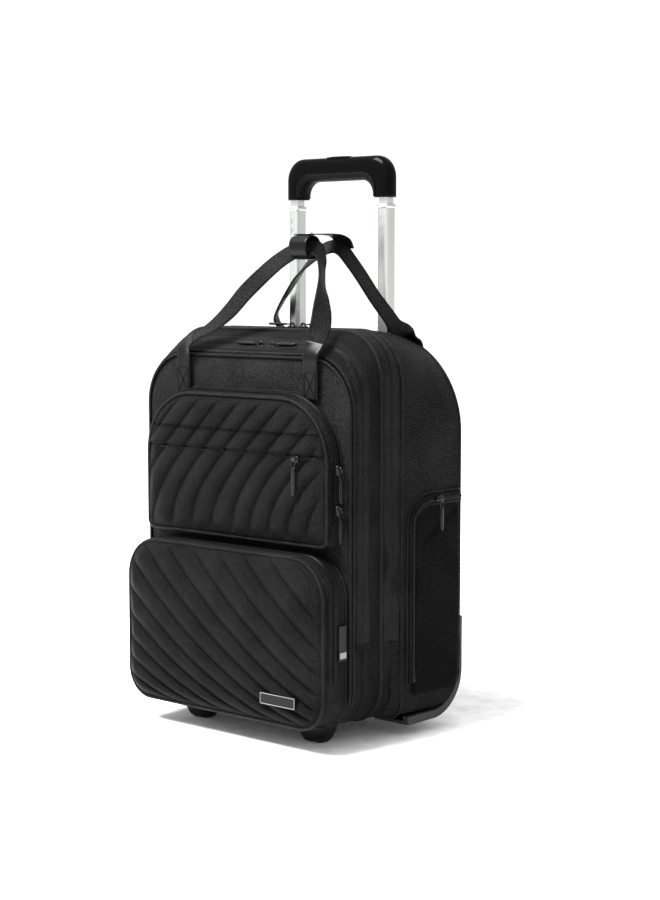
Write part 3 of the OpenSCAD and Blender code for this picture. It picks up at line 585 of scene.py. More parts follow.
def zip_half(name, y0, y1, coil_y, body, *replaced):
    """Half of a zip: a raised woven tape that ends in its coil."""
    lip = np.array([-0.6, 0.7, 1.0, 1.0, 0.9]) * MM
    ys = np.linspace(y0, y1, 5)
    if abs(coil_y - y0) < abs(coil_y - y1):
        lip = lip[::-1]
    rows = [zip_run(outline_path(y, 1.0 * MM + r)) for y, r in zip(ys, lip)]
    tape = thick_sheet(name, rows, 0.8 * MM, TAPE)
    finish_piece(tape, body, "zip_tape", *replaced)
    inner = coil_y + (0.9 if coil_y < (y0 + y1) / 2 else -0.9) * MM
    coil(name + "_coil", zip_run(outline_path(inner, 2.0 * MM)), 0.95 * MM, body)
    for k, y in enumerate((ys[1], ys[3])):
        path = resample(zip_run(outline_path(y, 2.1 * MM)), STITCH_STEP)
        sewn(f"{name}_stitches_{k}", path, body, "zip_tape")


def end_pleats():
    """Folded cloth tabs sewn over the lower ends of the zip tapes on both sides."""
    spans = (("front_panel", Y_FACE + 6 * MM, Y_FRONT_ZIP - 0.6 * MM),
             ("middle_section", Y_FRONT_ZIP + 0.6 * MM, Y_FACE + 34 * MM),
             ("middle_section", Y_RING + 2.6 * MM, Y_MAIN_ZIP - 0.6 * MM),
             ("case", Y_MAIN_ZIP + 0.6 * MM, Y_SEAM - 2 * MM))
    profile = [(-0.6, -7), (1.2, -6.4), (2.2, -2), (2.6, 2.4), (2.0, 3.6), (1.2, 3.4), (-0.6, 3.4)]
    for k, (body, y0, y1) in enumerate(spans):
        for side, sign in (("left", -1), ("right", 1)):
            rows = [[(sign * (HALF_W + out * MM), y, ZIP_END + up * MM) for out, up in profile]
                    for y in np.linspace(y0, y1, 5)]
            finish_piece(closed_loft(f"zip_end_{k}_{side}", rows, GUSSET), body, "panel_fabric")
            seam = [(sign * (HALF_W + 2.1 * MM), y, ZIP_END - 3.4 * MM)
                    for y in np.linspace(y0 + MM, y1 - MM, 6)]
            sewn(f"zip_end_thread_{k}_{side}", seam, body, "panel_fabric")


def bridge(name, y):
    """Plain cloth below the ends of the zips that joins two sections and folds between them."""
    k = zip_index() + 1
    full = [outline_path(y + d, e) for d, e in ((-4 * MM, 0.6 * MM), (-2 * MM, 0.8 * MM), (-1 * MM, 0.2 * MM),
                                               (0.0, -1.2 * MM), (1 * MM, 0.2 * MM), (2 * MM, 0.8 * MM),
                                               (4 * MM, 0.6 * MM))]
    rows = [np.vstack([f[-k:], f[:k + 1]]) for f in full]
    cloth = thick_sheet(name, rows, 0.7 * MM, GUSSET)
    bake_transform(cloth)


def front_skin():
    """The front panel's face, crowned, with a rounded edge under its piping."""
    ring = outline(Y_FACE, -0.6 * MM)
    centre = np.array([0.0, 0.24])
    rings = []
    for s in np.r_[np.linspace(1, 0.9, 8), np.linspace(0.87, 0.02, 34)]:
        flat = centre + (ring - centre) * s
        y = Y_FACE + 2.0 * MM - 2.2 * MM * min(1, (1 - s) * 14) ** 0.5
        push = 0.35 * ripple(flat[:, 0], y, flat[:, 1], 3.1)
        rings.append(np.stack([flat[:, 0], y + np.clip(push, -0.4 * MM, 0.4 * MM), flat[:, 1]], axis=1))
    skin = Builder().grid(rings, wrap_m=True, flip=True).cap(rings[-1], flip=True).make("front_skin", PANEL)
    weld(skin)
    solid = skin.modifiers.new("thickness", "SOLIDIFY")
    solid.thickness = 2.2 * MM
    solid.offset = -1
    finish_piece(skin, "front_panel", "panel_fabric", "front_face")
    for k, (dy, off) in enumerate(((0.3, 0.2), (4.6, 0.9))):
        piping(f"front_piping_{k}", outline_path(Y_FACE + dy * MM, off * MM), 1.9 * MM, "front_panel")


def compartments():
    case_shell()
    back_panel()
    gusset_ring("front_gusset_cloth", Y_FACE + 3 * MM, Y_FRONT_ZIP - ZIP_GAP, "front_panel", "front_gusset")
    gusset_ring("middle_gusset_cloth", Y_FRONT_ZIP + ZIP_GAP, Y_MAIN_ZIP - ZIP_GAP, "middle_section",
                "middle_gusset")
    piping("ring_piping", outline_path(Y_RING, 1.8 * MM), 2.6 * MM, "middle_section")
    piping("ring_piping_inner", outline_path(Y_RING - 15 * MM, 0.3 * MM), 1.3 * MM, "middle_section")
    front_skin()
    zip_half("front_tape_outer", Y_FACE + 7 * MM, Y_FRONT_ZIP - ZIP_GAP, Y_FRONT_ZIP, "front_panel")
    zip_half("front_tape_inner", Y_FRONT_ZIP + ZIP_GAP, Y_FACE + 33 * MM, Y_FRONT_ZIP, "middle_section")
    zip_half("main_tape_outer", Y_RING + 3 * MM, Y_MAIN_ZIP - ZIP_GAP, Y_MAIN_ZIP, "middle_section",
             "middle_zip_tapes")
    zip_half("main_tape_inner", Y_MAIN_ZIP + ZIP_GAP, Y_SEAM - 2 * MM, Y_MAIN_ZIP, "case", "main_zip_tape")
    end_pleats()
    bridge("front_bridge", Y_FRONT_ZIP)
    bridge("main_bridge", Y_MAIN_ZIP)


# ---- pockets ------------------------------------------------------------------------------
def pocket_loop(w, z0, z1, rt, rb):
    """A pocket's outline in x and z, with round upper and lower corners."""
    n_arc, n_side, n_top = 16, 24, 26
    pts = []

    def arc(cx, cz, r, a0, a1):
        return [(cx + r * math.cos(a), cz + r * math.sin(a)) for a in np.linspace(a0, a1, n_arc)]
    pts += arc(w - rb, z0 + rb, rb, -math.pi / 2, 0)
    pts += [(w, z) for z in np.linspace(z0 + rb, z1 - rt, n_side)[1:-1]]
    pts += arc(w - rt, z1 - rt, rt, 0, math.pi / 2)
    pts += [(x, z1) for x in np.linspace(w - rt, -w + rt, n_top)[1:-1]]
    pts += arc(-w + rt, z1 - rt, rt, math.pi / 2, math.pi)
    pts += [(-w, z) for z in np.linspace(z1 - rt, z0 + rb, n_side)[1:-1]]
    pts += arc(-w + rb, z0 + rb, rb, math.pi, 1.5 * math.pi)
    pts += [(x, z0) for x in np.linspace(-w + rb, w - rb, n_top)[1:-1]]
    return np.array(pts)


def lower_channels(x, z):
    """Channel number over the lower pocket: curves that sweep down to the right and flatten."""
    drop = np.clip(221 * MM - z, -10 * MM, 192 * MM) / MM
    slope, bend, pitch = 0.98, 0.0024, 42.5
    t = (slope - np.sqrt(np.maximum(slope ** 2 - 2 * bend * drop, 0.02))) / bend
    return (x / MM - t + 4) / pitch


def upper_channels(x, z):
    """Channel number over the upper pocket: curves that lean right and turn upright low down."""
    h = z / MM
    swing = 57 + 22 * np.clip(x / (140 * MM), 0, 1)
    knee, pitch = 340, 34.0
    lean = np.where(h < knee, -swing * np.sin(np.pi / 2 * np.clip(knee - h, 0, 110) / 100), h - knee)
    return (x / MM - lean + 12) / pitch


def pillow(s):
    """Padding between two sewn channels: full in the middle, with a tight valley at each seam."""
    f = np.abs(s - np.round(s)) * 2
    return 1 - (1 - np.clip(f / 0.98, 0, 1)) ** 2.1 - 0.16 * np.exp(-(f / 0.09) ** 2)


def pocket_face(name, size, y_front, y_panel, channels, depth, crown, flap=None, slant=0.0):
    """A quilted pocket: a crowned face with sewn channels, a gusset behind it and piping between them."""
    w, z0, z1, rt, rb = size
    body = "front_panel"
    edge_r = 6 * MM
    nz, nx = 190, 230
    v = np.linspace(0, 1, nz)
    z = z0 + (z1 - z0) * (v * 0.82 + 0.18 * (1 - np.cos(v * math.pi)) / 2)
    half = np.full(nz, w)
    top, bottom = z > z1 - rt, z < z0 + rb
    half[top] = w - rt + np.sqrt(np.maximum(rt ** 2 - (z[top] - (z1 - rt)) ** 2, 0))
    low_round = w - rb + np.sqrt(np.maximum(rb ** 2 - (z0 + rb - z[bottom]) ** 2, 0))
    half[bottom] = np.minimum(half[bottom], low_round)
    u = np.linspace(-1, 1, nx)
    u = np.sign(u) * (1 - (1 - np.abs(u)) ** 1.12)
    x = half[:, None] * u[None, :]
    zz = np.repeat(z[:, None], nx, 1)
    loop = pocket_loop(w, z0, z1, rt, rb)
    dist = np.full(x.shape, 9.0)
    nxt = np.roll(loop, -1, 0)
    for a, b in zip(loop, nxt):
        ab = b - a
        t = np.clip(((x - a[0]) * ab[0] + (zz - a[1]) * ab[1]) / max(ab @ ab, 1e-12), 0, 1)
        dist = np.minimum(dist, np.hypot(x - a[0] - t * ab[0], zz - a[1] - t * ab[1]))
    d = np.clip(dist / edge_r, 0, 1)
    setback = edge_r * (1 - np.sqrt(np.maximum(1 - (1 - d) ** 2, 0)))
    cx, cz = x / w, (zz - (z0 + z1) / 2) / ((z1 - z0) / 2)
    swell = crown * np.clip(1 - np.abs(cx) ** 4, 0, 1) * np.clip(1 - np.abs(cz) ** 4, 0, 1)
    puff = depth * pillow(channels(x, zz)) * smoothstep(0.0, 1.0, dist / (17 * MM))
    y = y_front + setback - swell - puff + 0.5 * ripple(x, 0 * x, zz, 2.2)
    if flap:
        seam, lip = flap
        y = y + 1.9 * MM * np.exp(-((zz - seam) / (1.6 * MM)) ** 2)
        tuck = smoothstep(lip - 0.4 * MM, lip + 1.2 * MM, zz) * smoothstep(0, 1, dist / (6 * MM))
        y = y + 3.0 * MM * (1 - tuck) * np.exp(-np.clip(lip - zz, 0, 1) / (16 * MM))
        y = y - 1.4 * MM * tuck * np.exp(-np.clip(zz - lip, 0, 1) / (9 * MM))
    p = np.stack([x, y, zz], axis=2)
    b = Builder().grid(p, flip=True)
    back = p.copy()
    back[:, :, 1] += 2.4 * MM
    inner = (dist > 1.5 * MM)
    back[:, :, 1] = np.where(inner, back[:, :, 1], p[:, :, 1] + 1.2 * MM)
    b.grid(back)
    for edge_a, edge_b in ((p[0], back[0]), (back[-1], p[-1]), (back[:, 0], p[:, 0]), (p[:, -1], back[:, -1])):
        b.grid(np.stack([edge_a, edge_b]), flip=True)
    face = b.make(name + "_face", QUILT)
    weld(face)
    finish_piece(face, body, "quilted_fabric", name)

    y_edge = y_front + edge_r

    def ring_at(yy, off):
        lean = slant * min(max((yy - y_edge) / (y_panel - y_edge), 0), 1)
        r = pocket_loop(w + off + lean, z0 - off, z1 + off + lean, rt + off + lean, rb + off)
        return np.stack([r[:, 0], np.full(len(r), yy), r[:, 1]], axis=1)
    rows = [ring_at(yy, off) for yy, off in zip(np.linspace(y_edge, y_panel, 6),
                                                np.array([0, 0.5, 0.8, 0.8, 0.5, 0.2]) * MM)]
    side = thick_sheet(name + "_gusset", rows, 1.6 * MM, PANEL, wrap_m=True, inward=-1)
    finish_piece(side, body, "quilted_fabric")
    piping(name + "_piping", ring_at(y_edge - 3.2 * MM, 0.4 * MM), 2.3 * MM, body)
    return ring_at, p, zz, x


def channel_stitches(name, p, s):
    """Thread down each sewn channel, found where the channel number is whole."""
    rows = []
    for k in range(int(math.floor(s.min())), int(math.ceil(s.max())) + 1):
        pts = []
        for i in range(0, s.shape[0], 2):
            row = s[i] - k
            hit = np.where(np.sign(row[:-1]) != np.sign(row[1:]))[0]
            if len(hit):
                j = hit[0]
                f = row[j] / (row[j] - row[j + 1])
                q = p[i, j] * (1 - f) + p[i, j + 1] * f
                pts.append(q + np.array([0, -0.15 * MM, 0]))
        if len(pts) > 6:
            rows.append(stitches(f"{name}_{k}", pts, THREAD, 3.4 * MM, 2.3 * MM, 0.3 * MM))
    return finish_piece(join(name, rows), "front_panel", "quilted_fabric")


def open_run(path, z_from):
    """The part of a closed loop that lies above a height, from one side over the top to the other."""
    above = path[:, 2] > z_from
    start = int(np.where(above & ~np.roll(above, 1))[0][0])
    path, above = np.roll(path, -start, 0), np.roll(above, -start)
    return path[:int(np.argmin(above))] if not above.all() else path


def pocket_zip(name, ring_at, y0, y1, z_from, body, replaced=()):
    """A zip in a pocket's gusset: two tapes, two coils and their stitching."""
    middle = (y0 + y1) / 2
    profile = ((y0, 0.9), (y0 + 1.2 * MM, 1.7), (middle, 1.6), (y1 - 1.2 * MM, 1.7), (y1, 0.9))
    rows = [open_run(ring_at(y, off * MM), z_from) for y, off in profile]
    tape = thick_sheet(name + "_tape", rows, 0.7 * MM, TAPE, inward=-1)
    finish_piece(tape, body, "zip_tape", *replaced)
    for k, dy in enumerate((-0.9, 0.9)):
        coil(f"{name}_coil_{k}", open_run(ring_at(middle + dy * MM, 2.2 * MM), z_from), 0.9 * MM, body)
    for k, y in enumerate((y0 + 2 * MM, y1 - 2 * MM)):
        path = resample(open_run(ring_at(y, 1.9 * MM), z_from), STITCH_STEP)
        sewn(f"{name}_stitches_{k}", path, body, "zip_tape")


def front_pockets():
    low_box, high_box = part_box("lower_pocket"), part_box("upper_pocket")
    y_panel = Y_FACE - 0.3 * MM
    low_slant, high_slant = 1 * MM, 6 * MM
    lower = (low_box[1][0] - 0.5 * MM - low_slant, low_box[0][2], low_box[1][2] - low_slant, 46 * MM, 34 * MM)
    ring_at, p, zz, x = pocket_face("lower_pocket", lower, low_box[0][1] + 3.0 * MM, y_panel, lower_channels,
                                    5.6 * MM, 4.5 * MM, slant=low_slant)
    channel_stitches("lower_channel_thread", p, lower_channels(x, zz))
    y_mid = low_box[0][1] + 24 * MM
    pocket_zip("lower_zip", ring_at, y_mid - 11 * MM, y_mid + 11 * MM, 84 * MM, "front_panel")
    piping("lower_back_piping", ring_at(y_panel - 2 * MM, 0.6 * MM), 1.9 * MM, "front_panel")
    upper = (high_box[1][0] - 0.5 * MM - high_slant, high_box[0][2], high_box[1][2] - high_slant,
             72 * MM, 10 * MM)
    seam, lip = 364 * MM, 342 * MM
    ring_at, p, zz, x = pocket_face("upper_pocket", upper, high_box[0][1] + 2.5 * MM, y_panel, upper_channels,
                                    5.0 * MM, 3.0 * MM, (seam, lip), slant=high_slant)
    channel_stitches("upper_channel_thread", p, upper_channels(x, zz))
    pocket_zip("upper_zip", ring_at, high_box[0][1] + 11 * MM, y_panel - 2 * MM, 262 * MM, "front_panel",
               replaced=("front_zip_tapes",))
    piping("upper_back_piping", ring_at(y_panel - 0.6 * MM, 0.8 * MM), 1.7 * MM, "front_panel")
    y_lip = high_box[0][1] + 1.2 * MM
    line = [(x0, y_lip, lip - 3.4 * MM) for x0 in np.linspace(-134 * MM, 134 * MM, 60)]
    coil("flap_coil", np.array(line), 1.1 * MM, "front_panel")
    for k, z in enumerate((seam + 1.6 * MM, seam - 1.8 * MM, lip + 3.0 * MM)):
        row = int(np.argmin(np.abs(zz[:, 0] - z)))
        path = p[row, 6:-6] + np.array([0, -0.2 * MM, 0])
        sewn(f"flap_stitches_{k}", path, "front_panel", "quilted_fabric")


def side_pockets():
    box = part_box("side_pockets")
    y0, y1, z0, z1 = box[0][1], box[1][1], box[0][2] + 0.5 * MM, box[1][2]
    r, deep = 36 * MM, 47 * MM
    out = box[1][0] - HALF_W
    for sign, side in ((1, "right"), (-1, "left")):
        nz, ny = 110, 70
        z = np.linspace(z0, z1, nz)
        t = np.linspace(0, 1, ny)
        front = np.full(nz, y0)
        arc = z > z1 - r
        front[arc] = y0 + deep - deep * np.sqrt(np.maximum(1 - ((z[arc] - (z1 - r)) / r) ** 2, 0))
        low_arc = z < z0 + 20 * MM
        low_r = 20 * MM
        front[low_arc] = y0 + low_r - np.sqrt(np.maximum(low_r ** 2 - (z0 + low_r - z[low_arc]) ** 2, 0))
        back = np.full(nz, y1)
        foot = z < ARC_Z
        round_back = ARC_Y + np.sqrt(np.maximum((ARC_R - 3 * MM) ** 2 - (ARC_Z - z[foot]) ** 2, 0))
        back[foot] = np.minimum(y1, round_back)
        yy = front[:, None] + (back - front)[:, None] * t[None, :]
        zz = np.repeat(z[:, None], ny, 1)
        edge = np.minimum(np.minimum(yy - front[:, None], (back[:, None] - yy) * 1.5),
                          np.minimum(z1 - zz, zz - z0))
        rise = smoothstep(0, 14 * MM, edge)
        belly = np.sin(np.pi * np.clip((zz - z0) / (z1 - z0), 0, 1)) ** 0.7
        slump = 1.2 * MM * np.sin(95 * (zz - z0) + 30 * (yy - y0)) * smoothstep(0, 50 * MM, edge)
        fold = (zz - (z1 - 62 * MM)) - 0.55 * (yy - (y0 + 18 * MM))
        slump = slump - 2.2 * MM * np.exp(-(fold / (5 * MM)) ** 2) * smoothstep(y0 + 16 * MM, y0 + 34 * MM, yy)
        xx = HALF_W + 0.4 * MM + rise * (out * 0.72 + 2.6 * MM * belly) + slump * rise * 0.6
        p = np.stack([sign * xx, yy, zz], axis=2)
        sheet = thick_sheet(f"side_pocket_{side}", p, 1.3 * MM, DARK_TWILL, inward=sign)
        finish_piece(sheet, "case", "side_twill", *(("side_pockets",) if sign > 0 else ()))

        def run(inset, lift):
            rz, ry = r - inset, deep - inset
            path = [(y0 + inset, zv) for zv in np.linspace(z0 + 24 * MM, z1 - r, 30)]
            path += [(y0 + deep - ry * math.cos(a), z1 - r + rz * math.sin(a))
                     for a in np.linspace(0, math.pi / 2, 14)[1:]]
            path += [(yv, z1 - inset) for yv in np.linspace(y0 + deep, y1 - 3 * MM, 14)[1:]]
            return np.array([(sign * (HALF_W + out * 0.62 + lift), a, b) for a, b in path])
        profile = ((1.5, -0.8), (3, 1.6), (8.5, 2.0), (14, 2.3), (16, 1.6))
        rows = [run(inset * MM, lift * MM) for inset, lift in profile]
        tape = thick_sheet(f"side_tape_{side}", rows, 0.8 * MM, TAPE, inward=-sign)
        finish_piece(tape, "case", "zip_tape", *(("side_zip_tapes",) if sign > 0 else ()))
        for k, inset in enumerate((7.6 * MM, 9.4 * MM)):
            coil(f"side_coil_{side}_{k}", run(inset, 2.6 * MM), 0.9 * MM, "case")
        for k, (inset, lift) in enumerate(((3.2 * MM, 1.9 * MM), (13.8 * MM, 2.6 * MM))):
            sewn(f"side_stitches_{side}_{k}", resample(run(inset, lift), STITCH_STEP), "case", "zip_tape")
        piping(f"side_piping_{side}", run(0.5 * MM, -1.2 * MM), 1.7 * MM, "case", closed=False)


# ---- straps -------------------------------------------------------------------------------
def placed(stops):
    return [((s[0][0] * MM, s[0][1] * MM + Y_FACE, s[0][2] * MM), s[1]) for s in stops]


FRONT_ROUTE = placed([
    ((-98, -5, 404), (-1, 0, 0)), ((-98, -5, 420), (-1, 0, 0)), ((-98, -5.6, 440), (-1, 0, 0)),
    ((-97, -5.4, 454), (-1, 0.1, 0)), ((-91.5, -3.4, 464), (-0.85, 0.45, 0.2)),
    ((-80, 1.5, 473), (-0.7, 0.6, 0.3)), ((-61, 9, 485), (-0.7, 0.45, 0.5)),
    ((-41, 17, 503), (-0.8, 0.2, 0.55)), ((-21, 26, 527), (-0.8, 0.1, 0.55)),
    ((10, 38, 556), (-0.75, 0.2, 0.6)), ((30, 48, 571), (-0.5, 0.4, 0.75)),
    ((47, 53, 577), (-0.4, 0.5, 0.75)), ((61, 55, 575), (-0.35, 0.5, 0.7)),
    ((70, 54, 566), (-0.3, 0.8, 0.2)), ((78, 48, 554), (-0.35, 0.8, -0.3)),
    ((87, 39, 537), (-0.3, 0.75, -0.5)), ((96, 30, 521), (0, 0.9, -0.4)),
    ((104, 20, 503), (0.4, 0.85, -0.3)), ((109, 11, 485), (0.6, 0.7, -0.2)),
    ((110.5, 1, 467), (0.95, 0.2, -0.1)), ((109, -5.6, 454), (1, 0, 0)), ((109, -5.6, 440), (1, 0, 0)),
    ((109, -5, 420), (1, 0, 0)), ((109, -5, 404), (1, 0, 0))])
REAR_ROUTE = placed([
    ((-93, 205, 402), (-1, 0, 0)), ((-93, 205, 422), (-1, 0, 0)), ((-93, 204.8, 440), (-1, 0, 0)),
    ((-93, 204.8, 455), (-1, 0, -0.05)), ((-93.5, 202.5, 464.5), (-1, 0, -0.25)),
    ((-95, 197, 469.5), (-0.93, 0.1, -0.3)), ((-100, 184, 475), (-0.85, 0.35, 0)),
    ((-101.5, 170, 483), (-0.6, 0.6, 0.3)), ((-97, 158, 493), (-0.4, 0.7, 0.4)),
    ((-82, 149, 507), (-0.1, 0.75, 0.6)), ((-58, 140, 527), (0, 0.8, 0.55)),
    ((-31, 129, 547), (0, 0.8, 0.55)), ((-5, 119, 563), (-0.1, 0.6, 0.75)),
    ((20, 112, 574), (-0.1, 0.55, 0.8)), ((40, 110, 579), (-0.1, 0.7, 0.7)),
    ((52, 113, 576), (-0.1, 0.85, 0.5)), ((60, 121, 562), (-0.15, 0.85, 0.5)),
    ((68, 131, 544), (-0.15, 0.85, 0.5)), ((77, 145, 519), (-0.15, 0.85, 0.5)),
    ((85.5, 161, 496), (-0.1, 0.85, 0.5)), ((88, 174, 481), (0, 0.85, 0.5)),
    ((90.5, 187, 473.5), (0.5, 0.75, 0)), ((92, 197, 469.5), (0.95, 0.2, -0.3)),
    ((93, 202.5, 464.5), (1, 0, -0.25)), ((93, 204.8, 455), (1, 0, -0.05)),
    ((93, 204.8, 440), (1, 0, 0)), ((93, 205, 422), (1, 0, 0)), ((93, 205, 402), (1, 0, 0))])


STRAP_W = 25 * MM


def ribbon_frames(stops, steps):
    line = spline([s[0] for s in stops], steps)
    across = spline([s[1] for s in stops], steps)
    t = np.gradient(line, axis=0)
    t /= np.linalg.norm(t, axis=1, keepdims=True)
    n = np.cross(t, across)
    n /= np.linalg.norm(n, axis=1, keepdims=True)
    w = np.cross(n, t)
    return line, n, w


def ribbon(name, line, n, w, width, thickness, material, ribs=0):
    """Flat webbing with rounded edges and lengthwise ribs; width may be one number or one per ring."""
    u = np.linspace(-1, 1, 15)
    edge = np.sqrt(np.maximum(1 - np.abs(u) ** 10, 0.0))
    rib = 1 + (0.10 * np.cos(u * math.pi * ribs) if ribs else 0)
    top = [(a / 2, thickness / 2 * e * r) for a, e, r in zip(u, edge, rib * np.ones(15))]
    under = [(a, -b) for a, b in top[-2:0:-1]]
    section = np.array(top + under)
    wide = np.broadcast_to(np.asarray(width, float), len(line))[:, None, None]
    rings = (line[:, None] + w[:, None] * section[None, :, 0, None] * wide
             + n[:, None] * section[None, :, 1, None])
    return closed_loft(name, rings, material)


def strap(name, stops, body_piece, body_root, z_leather, replaced, anchors):
    line, n, w = ribbon_frames(stops, 7)
    widths = STRAP_W - 4 * MM * (1 - smoothstep(z_leather - 32 * MM, z_leather, line[:, 2]))
    web = ribbon(name + "_webbing", line, n, w, widths, 2.2 * MM, WEBBING, ribs=9)
    edges = []
    for k, (face, side) in enumerate(((1, 1), (1, -1), (-1, 1), (-1, -1))):
        path = line + n * 1.2 * MM * face + w * (widths[:, None] / 2 - 2 * MM) * side
        edges.append(stitches(f"{name}_edge_{k}", path, THREAD, 3.4 * MM))
    pieces = [web, join(name + "_stitching", edges)]
    half = len(line) // 2
    for k, part in enumerate((slice(0, half), slice(half, None))):
        keep = [i for i in range(len(line))[part] if line[i][2] < z_leather]
        pieces.append(ribbon(f"{name}_sleeve_{k}", line[keep], n[keep], w[keep], widths[keep] + 1.4 * MM,
                             3.4 * MM, LEATHER))
        end = [i for i in keep if line[i][2] < z_leather - 34 * MM]
        face = 1 if abs(n[end[0]][1] + 1) < abs(n[end[0]][1] - 1) else -1
        if body_root == "case":
            face = -face
        out = n[end] * 1.95 * MM * face
        a, b = line[end[0]] + out[0], line[end[-1]] + out[-1]
        wa, wb = w[end[0]] * (STRAP_W / 2 - 4 * MM), w[end[-1]] * (STRAP_W / 2 - 4 * MM)
        box_path = [a - wa, a + wa, b + wb, b - wb, a - wa]
        threads = []
        for j, path in enumerate((box_path, [a - wa, b + wb], [a + wa, b - wb])):
            threads.append(stitches(f"{name}_box_{k}_{j}", resample(path, 3 * MM), THREAD, 2.8 * MM, 2.1 * MM,
                                    0.42 * MM))
        pieces.append(join(f"{name}_box_stitch_{k}", threads))
    for obj in pieces:
        leather = "sleeve" in obj.name or "box" in obj.name
        if body_piece == body_root:
            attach(obj, body_root)
        else:
            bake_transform(obj)
    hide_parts(replaced)
    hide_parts(anchors)
    path_length(line)


def cross_band(name, path, width, thickness):
    """A leather band along a path in a plane across x."""
    across = np.tile([1.0, 0, 0], (len(path), 1))
    n = np.cross(np.gradient(path, axis=0), across)
    n /= np.linalg.norm(n, axis=1, keepdims=True)
    return ribbon(name, path, n, across, width, thickness, LEATHER)


def wrap():
    """The band that holds both straps: a loop round the front one and a tail over the rear one."""
    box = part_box("strap_wrap")
    x = (box[0][0] + box[1][0]) / 2
    wide = 28 * MM
    cy, cz = Y_FACE + 53 * MM, 577.5 * MM
    half_d, half_h, r = 12.6 * MM, 13.6 * MM, 11.5 * MM
    path = []
    for sy, sz, a0 in ((1, -1, -90), (1, 1, 0), (-1, 1, 90), (-1, -1, 180)):
        centre = (cy + sy * (half_d - r), cz + sz * (half_h - r))
        path += [(x, centre[0] + r * math.cos(math.radians(a)), centre[1] + r * math.sin(math.radians(a)))
                 for a in np.linspace(a0, a0 + 90, 8)]
    loop = np.array(path + path[:2])
    band_piece = cross_band("wrap_loop", loop, wide, 1.5 * MM)
    finish_piece(band_piece, "front_strap", "webbing", "strap_wrap")
    path_length(loop)
    tail = spline([(x, cy - 4 * MM, cz + half_h + 1.6 * MM), (x, cy + 14 * MM, cz + half_h + 1.8 * MM),
                   (x, cy + 34 * MM, cz + half_h + 2.4 * MM), (x, cy + 54 * MM, cz + half_h + 1.4 * MM),
                   (x, cy + 67 * MM, cz + half_h - 4 * MM), (x, cy + 73 * MM, cz + half_h - 14 * MM)], 6)
    flap = cross_band("wrap_tail", tail, wide, 1.6 * MM)
    finish_piece(flap, "front_strap", "leather_patch")
    path_length(tail)
    ring = [(0, 0), (5.4 * MM, 0), (5.4 * MM, 0.9 * MM), (3.6 * MM, 1.9 * MM), (0, 2.1 * MM)]
    a = np.linspace(0, 2 * math.pi, 20, endpoint=False)
    snap_y, snap_z = cy + 8 * MM, cz + half_h + 2.2 * MM
    snap = [[(x + rr * math.cos(b), snap_y + rr * math.sin(b), snap_z + h) for b in a] for rr, h in ring]
    finish_piece(Builder().grid(snap, wrap_m=True).make("wrap_snap", STEEL), "front_strap", "rivet_steel")


# ---- labels -------------------------------------------------------------------------------
def slab(name, lo, hi, material, bevel=0.6 * MM, segments=3):
    lo, hi = Vector(lo), Vector(hi)
    xs = [(lo.x, hi.x)[i] for i in (0, 1, 1, 0, 0, 1, 1, 0)]
    ys = [(lo.y, hi.y)[i] for i in (0, 0, 1, 1, 0, 0, 1, 1)]
    zs = [(lo.z, hi.z)[i] for i in (0, 0, 0, 0, 1, 1, 1, 1)]
    faces = [(3, 2, 1, 0), (4, 5, 6, 7), (0, 1, 5, 4), (1, 2, 6, 5), (2, 3, 7, 6), (3, 0, 4, 7)]
    obj = make(name, list(zip(xs, ys, zs)), faces, material, smooth=False)
    mod = obj.modifiers.new("bevel", "BEVEL")
    mod.width = bevel
    mod.segments = segments
    return obj


def labels():
    """A plain rectangular patch with a thin light border, and a plain folded tag: both blank."""
    y = low("labels", 1)
    x0, x1, z0, z1 = 72 * MM, 127 * MM, 54 * MM, 68 * MM
    y_patch = y - 5.0 * MM
    patch = slab("plain_patch", (x0, y_patch, z0), (x1, y_patch + 9 * MM, z1), LEATHER)
    finish_piece(patch, "front_panel", "label_plain", "labels")
    t = 0.7 * MM
    sides = ((x0 + t, x1 - t, z0 + t, z0 + 2 * t), (x0 + t, x1 - t, z1 - 2 * t, z1 - t),
             (x0 + t, x0 + 2 * t, z0 + t, z1 - t), (x1 - 2 * t, x1 - t, z0 + t, z1 - t))
    for letter, (xa, xb, za, zb) in zip("abcd", sides):
        strip = slab(f"border_{letter}", (xa, y_patch - 0.3 * MM, za), (xb, y_patch + 0.4 * MM, zb), BORDER,
                     0.1 * MM, 1)
        finish_piece(strip, "front_panel", "label_plain")
    xt = high("labels", 0)
    tag = slab("plain_tag", (xt + 0.2 * MM, Y_FACE - 17 * MM, 109 * MM),
               (xt + 1.4 * MM, Y_FACE - 3 * MM, 150 * MM), LEATHER)
    finish_piece(tag, "front_panel", "label_plain")
    stripe = slab("tag_stripe", (xt + 1.1 * MM, Y_FACE - 15.4 * MM, 112 * MM),
                  (xt + 1.7 * MM, Y_FACE - 4.6 * MM, 119 * MM), BORDER, 0.1 * MM, 1)
    finish_piece(stripe, "front_panel", "label_plain")


